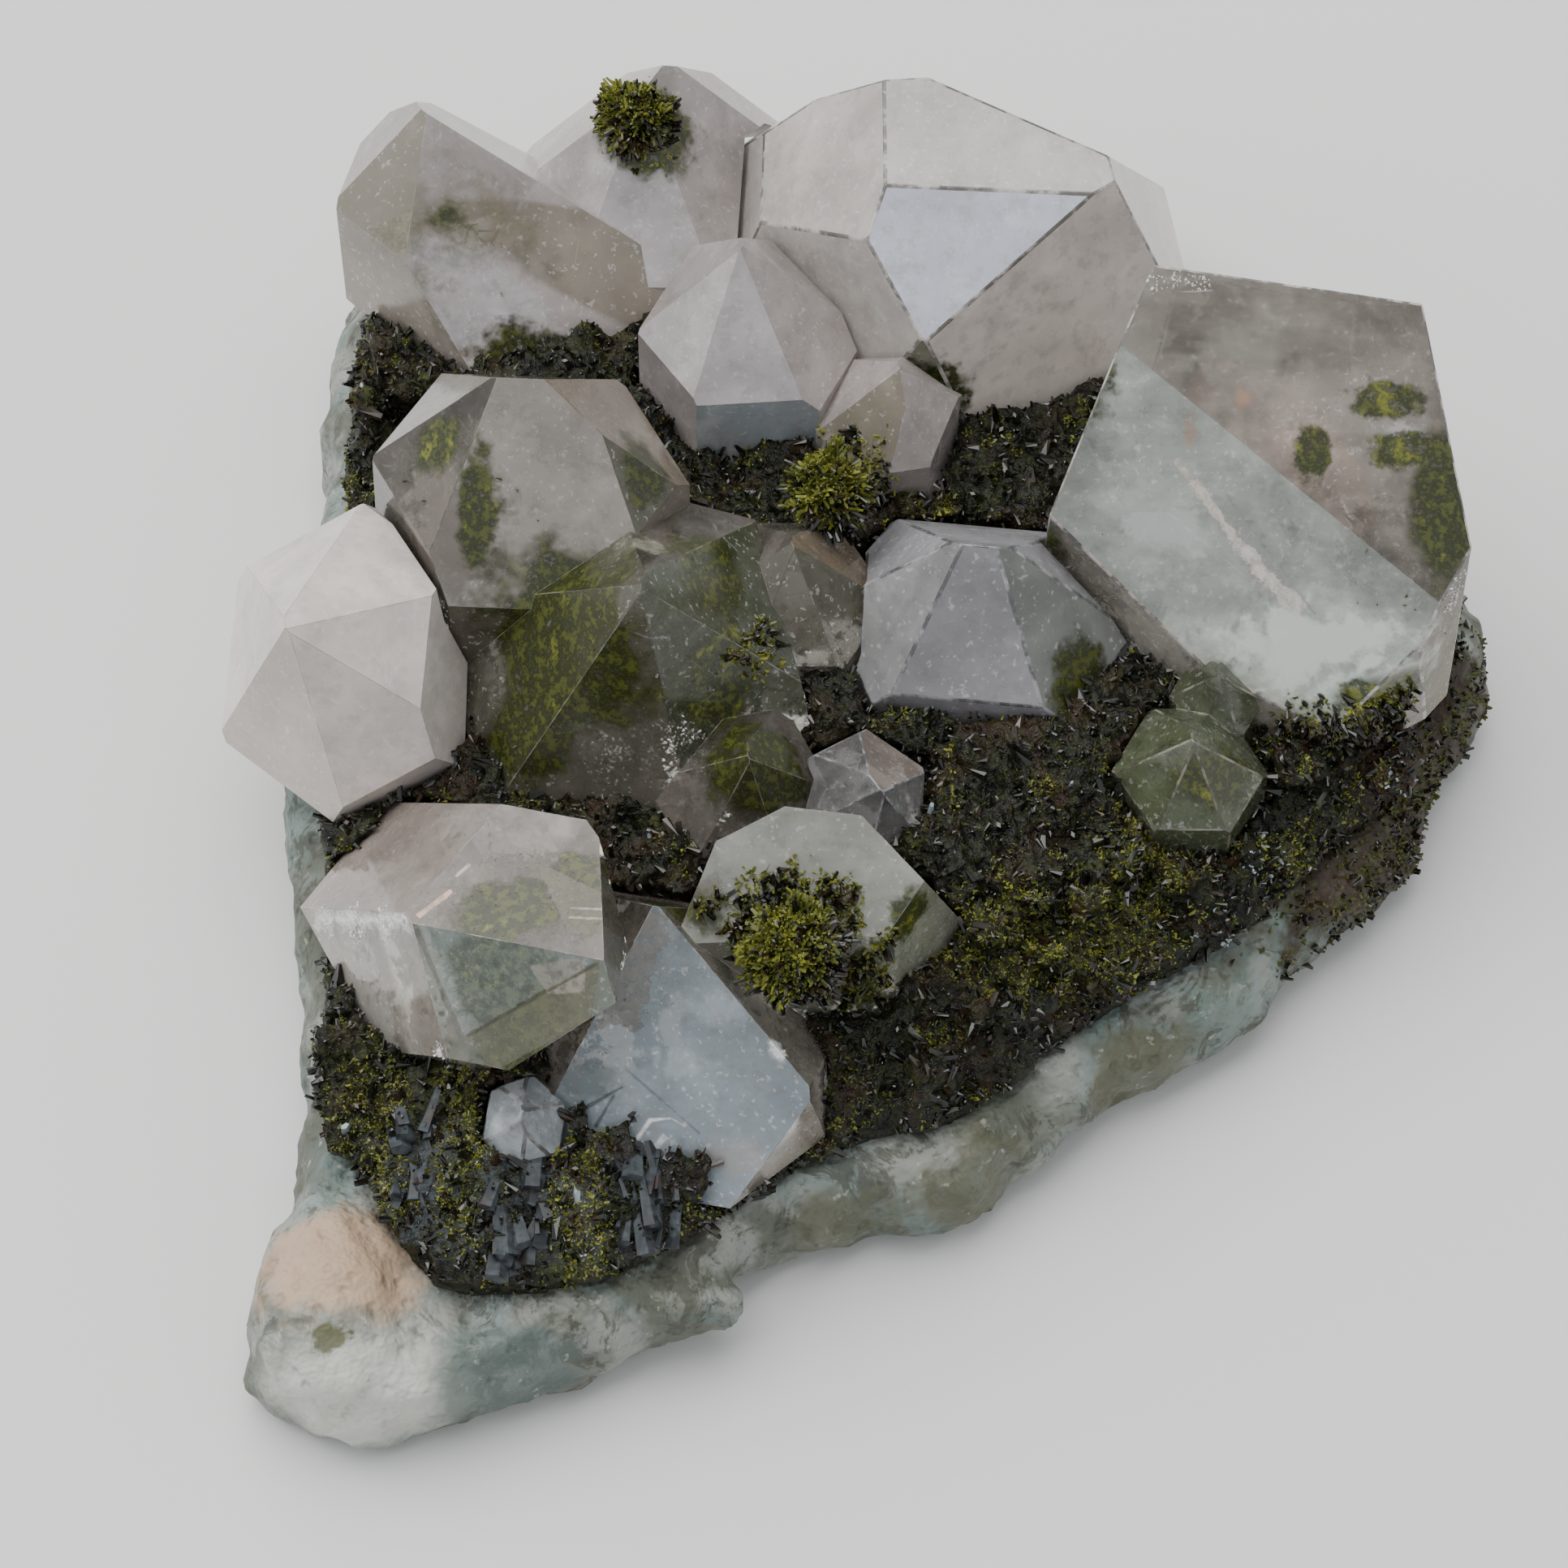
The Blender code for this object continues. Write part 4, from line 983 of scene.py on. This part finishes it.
def spray(node, centre, facing, dark_side, radius, count):
    """A tuft on a crystal: yellow-green crumbs all over, stubby dark prisms on one side."""
    def tuft(name, form, amount, widths, reach, lean, material):
        out = RNG.normal(size=(amount, 3)) + np.array(dark_side) * lean
        out /= np.linalg.norm(out, axis=1, keepdims=True)
        flip = out @ up < -0.05
        out[flip] -= 2 * (out[flip] @ up)[:, None] * up
        lumps = 0.70 + 0.45 * np.array([noise.noise(Vector(o) * 2.2 + Vector(centre)) for o in out])
        ends = out * (radius * lumps * RNG.uniform(*reach, amount))[:, None]
        width = RNG.uniform(*widths, amount)
        long = width * RNG.uniform(1.0, 2.4, amount)
        axes = out + RNG.normal(size=out.shape) * 0.5
        piece = scattered(name, form, np.array(centre) + ends, axes, long, width)
        return dressed(piece, material, [node])

    up = np.array(facing)
    tuft(node + "_crumbs", CRUMB, count * 4, (0.14, 0.30), (0.30, 1.05), -0.4, gold_grains)
    tuft(node + "_grains", CRUMB, count * 2, (0.16, 0.32), (0.2, 1.0), 0.3, moss_grains)
    tuft(node + "_prisms", SHORT_PRISM, count // 2, (0.25, 0.46), (0.5, 1.08), 1.0, dark_grains)


spray("epidote_spray_front", (0.5, -17.6, 15.6), (0.05, -0.57, 0.82), (0.7, -0.6, -0.4), 3.0, 1500)
spray("epidote_spray_back", (2.2, 7.6, 14.6), (0.1, -0.63, 0.77), (0.5, -0.8, -0.5), 2.3, 900)
spray("epidote_spray_top", (-7.2, 27.6, 17.0), (0.09, -0.49, 0.87), (0, -0.8, -0.5), 2.1, 700)


# ---------------------------------------------------------------- studio

deselect()
bpy.ops.mesh.primitive_plane_add(size=3, location=(0, 0, 0))
floor = bpy.context.object
floor.name = "floor"
floor.data.materials.append(floor_finish())


def area_light(name, azimuth, elevation, distance, size, power, colour=(1, 1, 1)):
    """A soft light aimed at the specimen."""
    out = direction(azimuth, elevation)
    data = bpy.data.lights.new(name, "AREA")
    data.shape = "RECTANGLE"
    data.size, data.size_y = size
    data.energy = power
    data.color = colour
    light = bpy.data.objects.new(name, data)
    light.location = AIM + out * distance
    light.rotation_euler = out.to_track_quat("Z", "Y").to_euler()
    bpy.context.scene.collection.objects.link(light)


area_light("key", 125, 68, 0.90, (1.0, 1.0), 10, (1.0, 0.985, 0.96))
area_light("fill", 175, 35, 0.90, (0.9, 0.9), 2.9, (0.96, 0.98, 1.0))

world = bpy.data.worlds.new("studio")
world.use_nodes = True
world.node_tree.nodes["Background"].inputs["Color"].default_value = (0.9, 0.92, 0.95, 1)
world.node_tree.nodes["Background"].inputs["Strength"].default_value = 0.80
bpy.context.scene.world = world

lens = bpy.data.cameras.new("camera")
lens.lens = LENS
lens.sensor_width = SENSOR
lens.clip_start = 0.01
camera = bpy.data.objects.new("camera", lens)
back = Vector((0, -math.cos(ELEVATION), math.sin(ELEVATION)))
camera.location = AIM + CAMERA_DISTANCE * back
camera.rotation_euler = (math.radians(90) - ELEVATION, 0, 0)
bpy.context.scene.collection.objects.link(camera)
bpy.context.scene.camera = camera
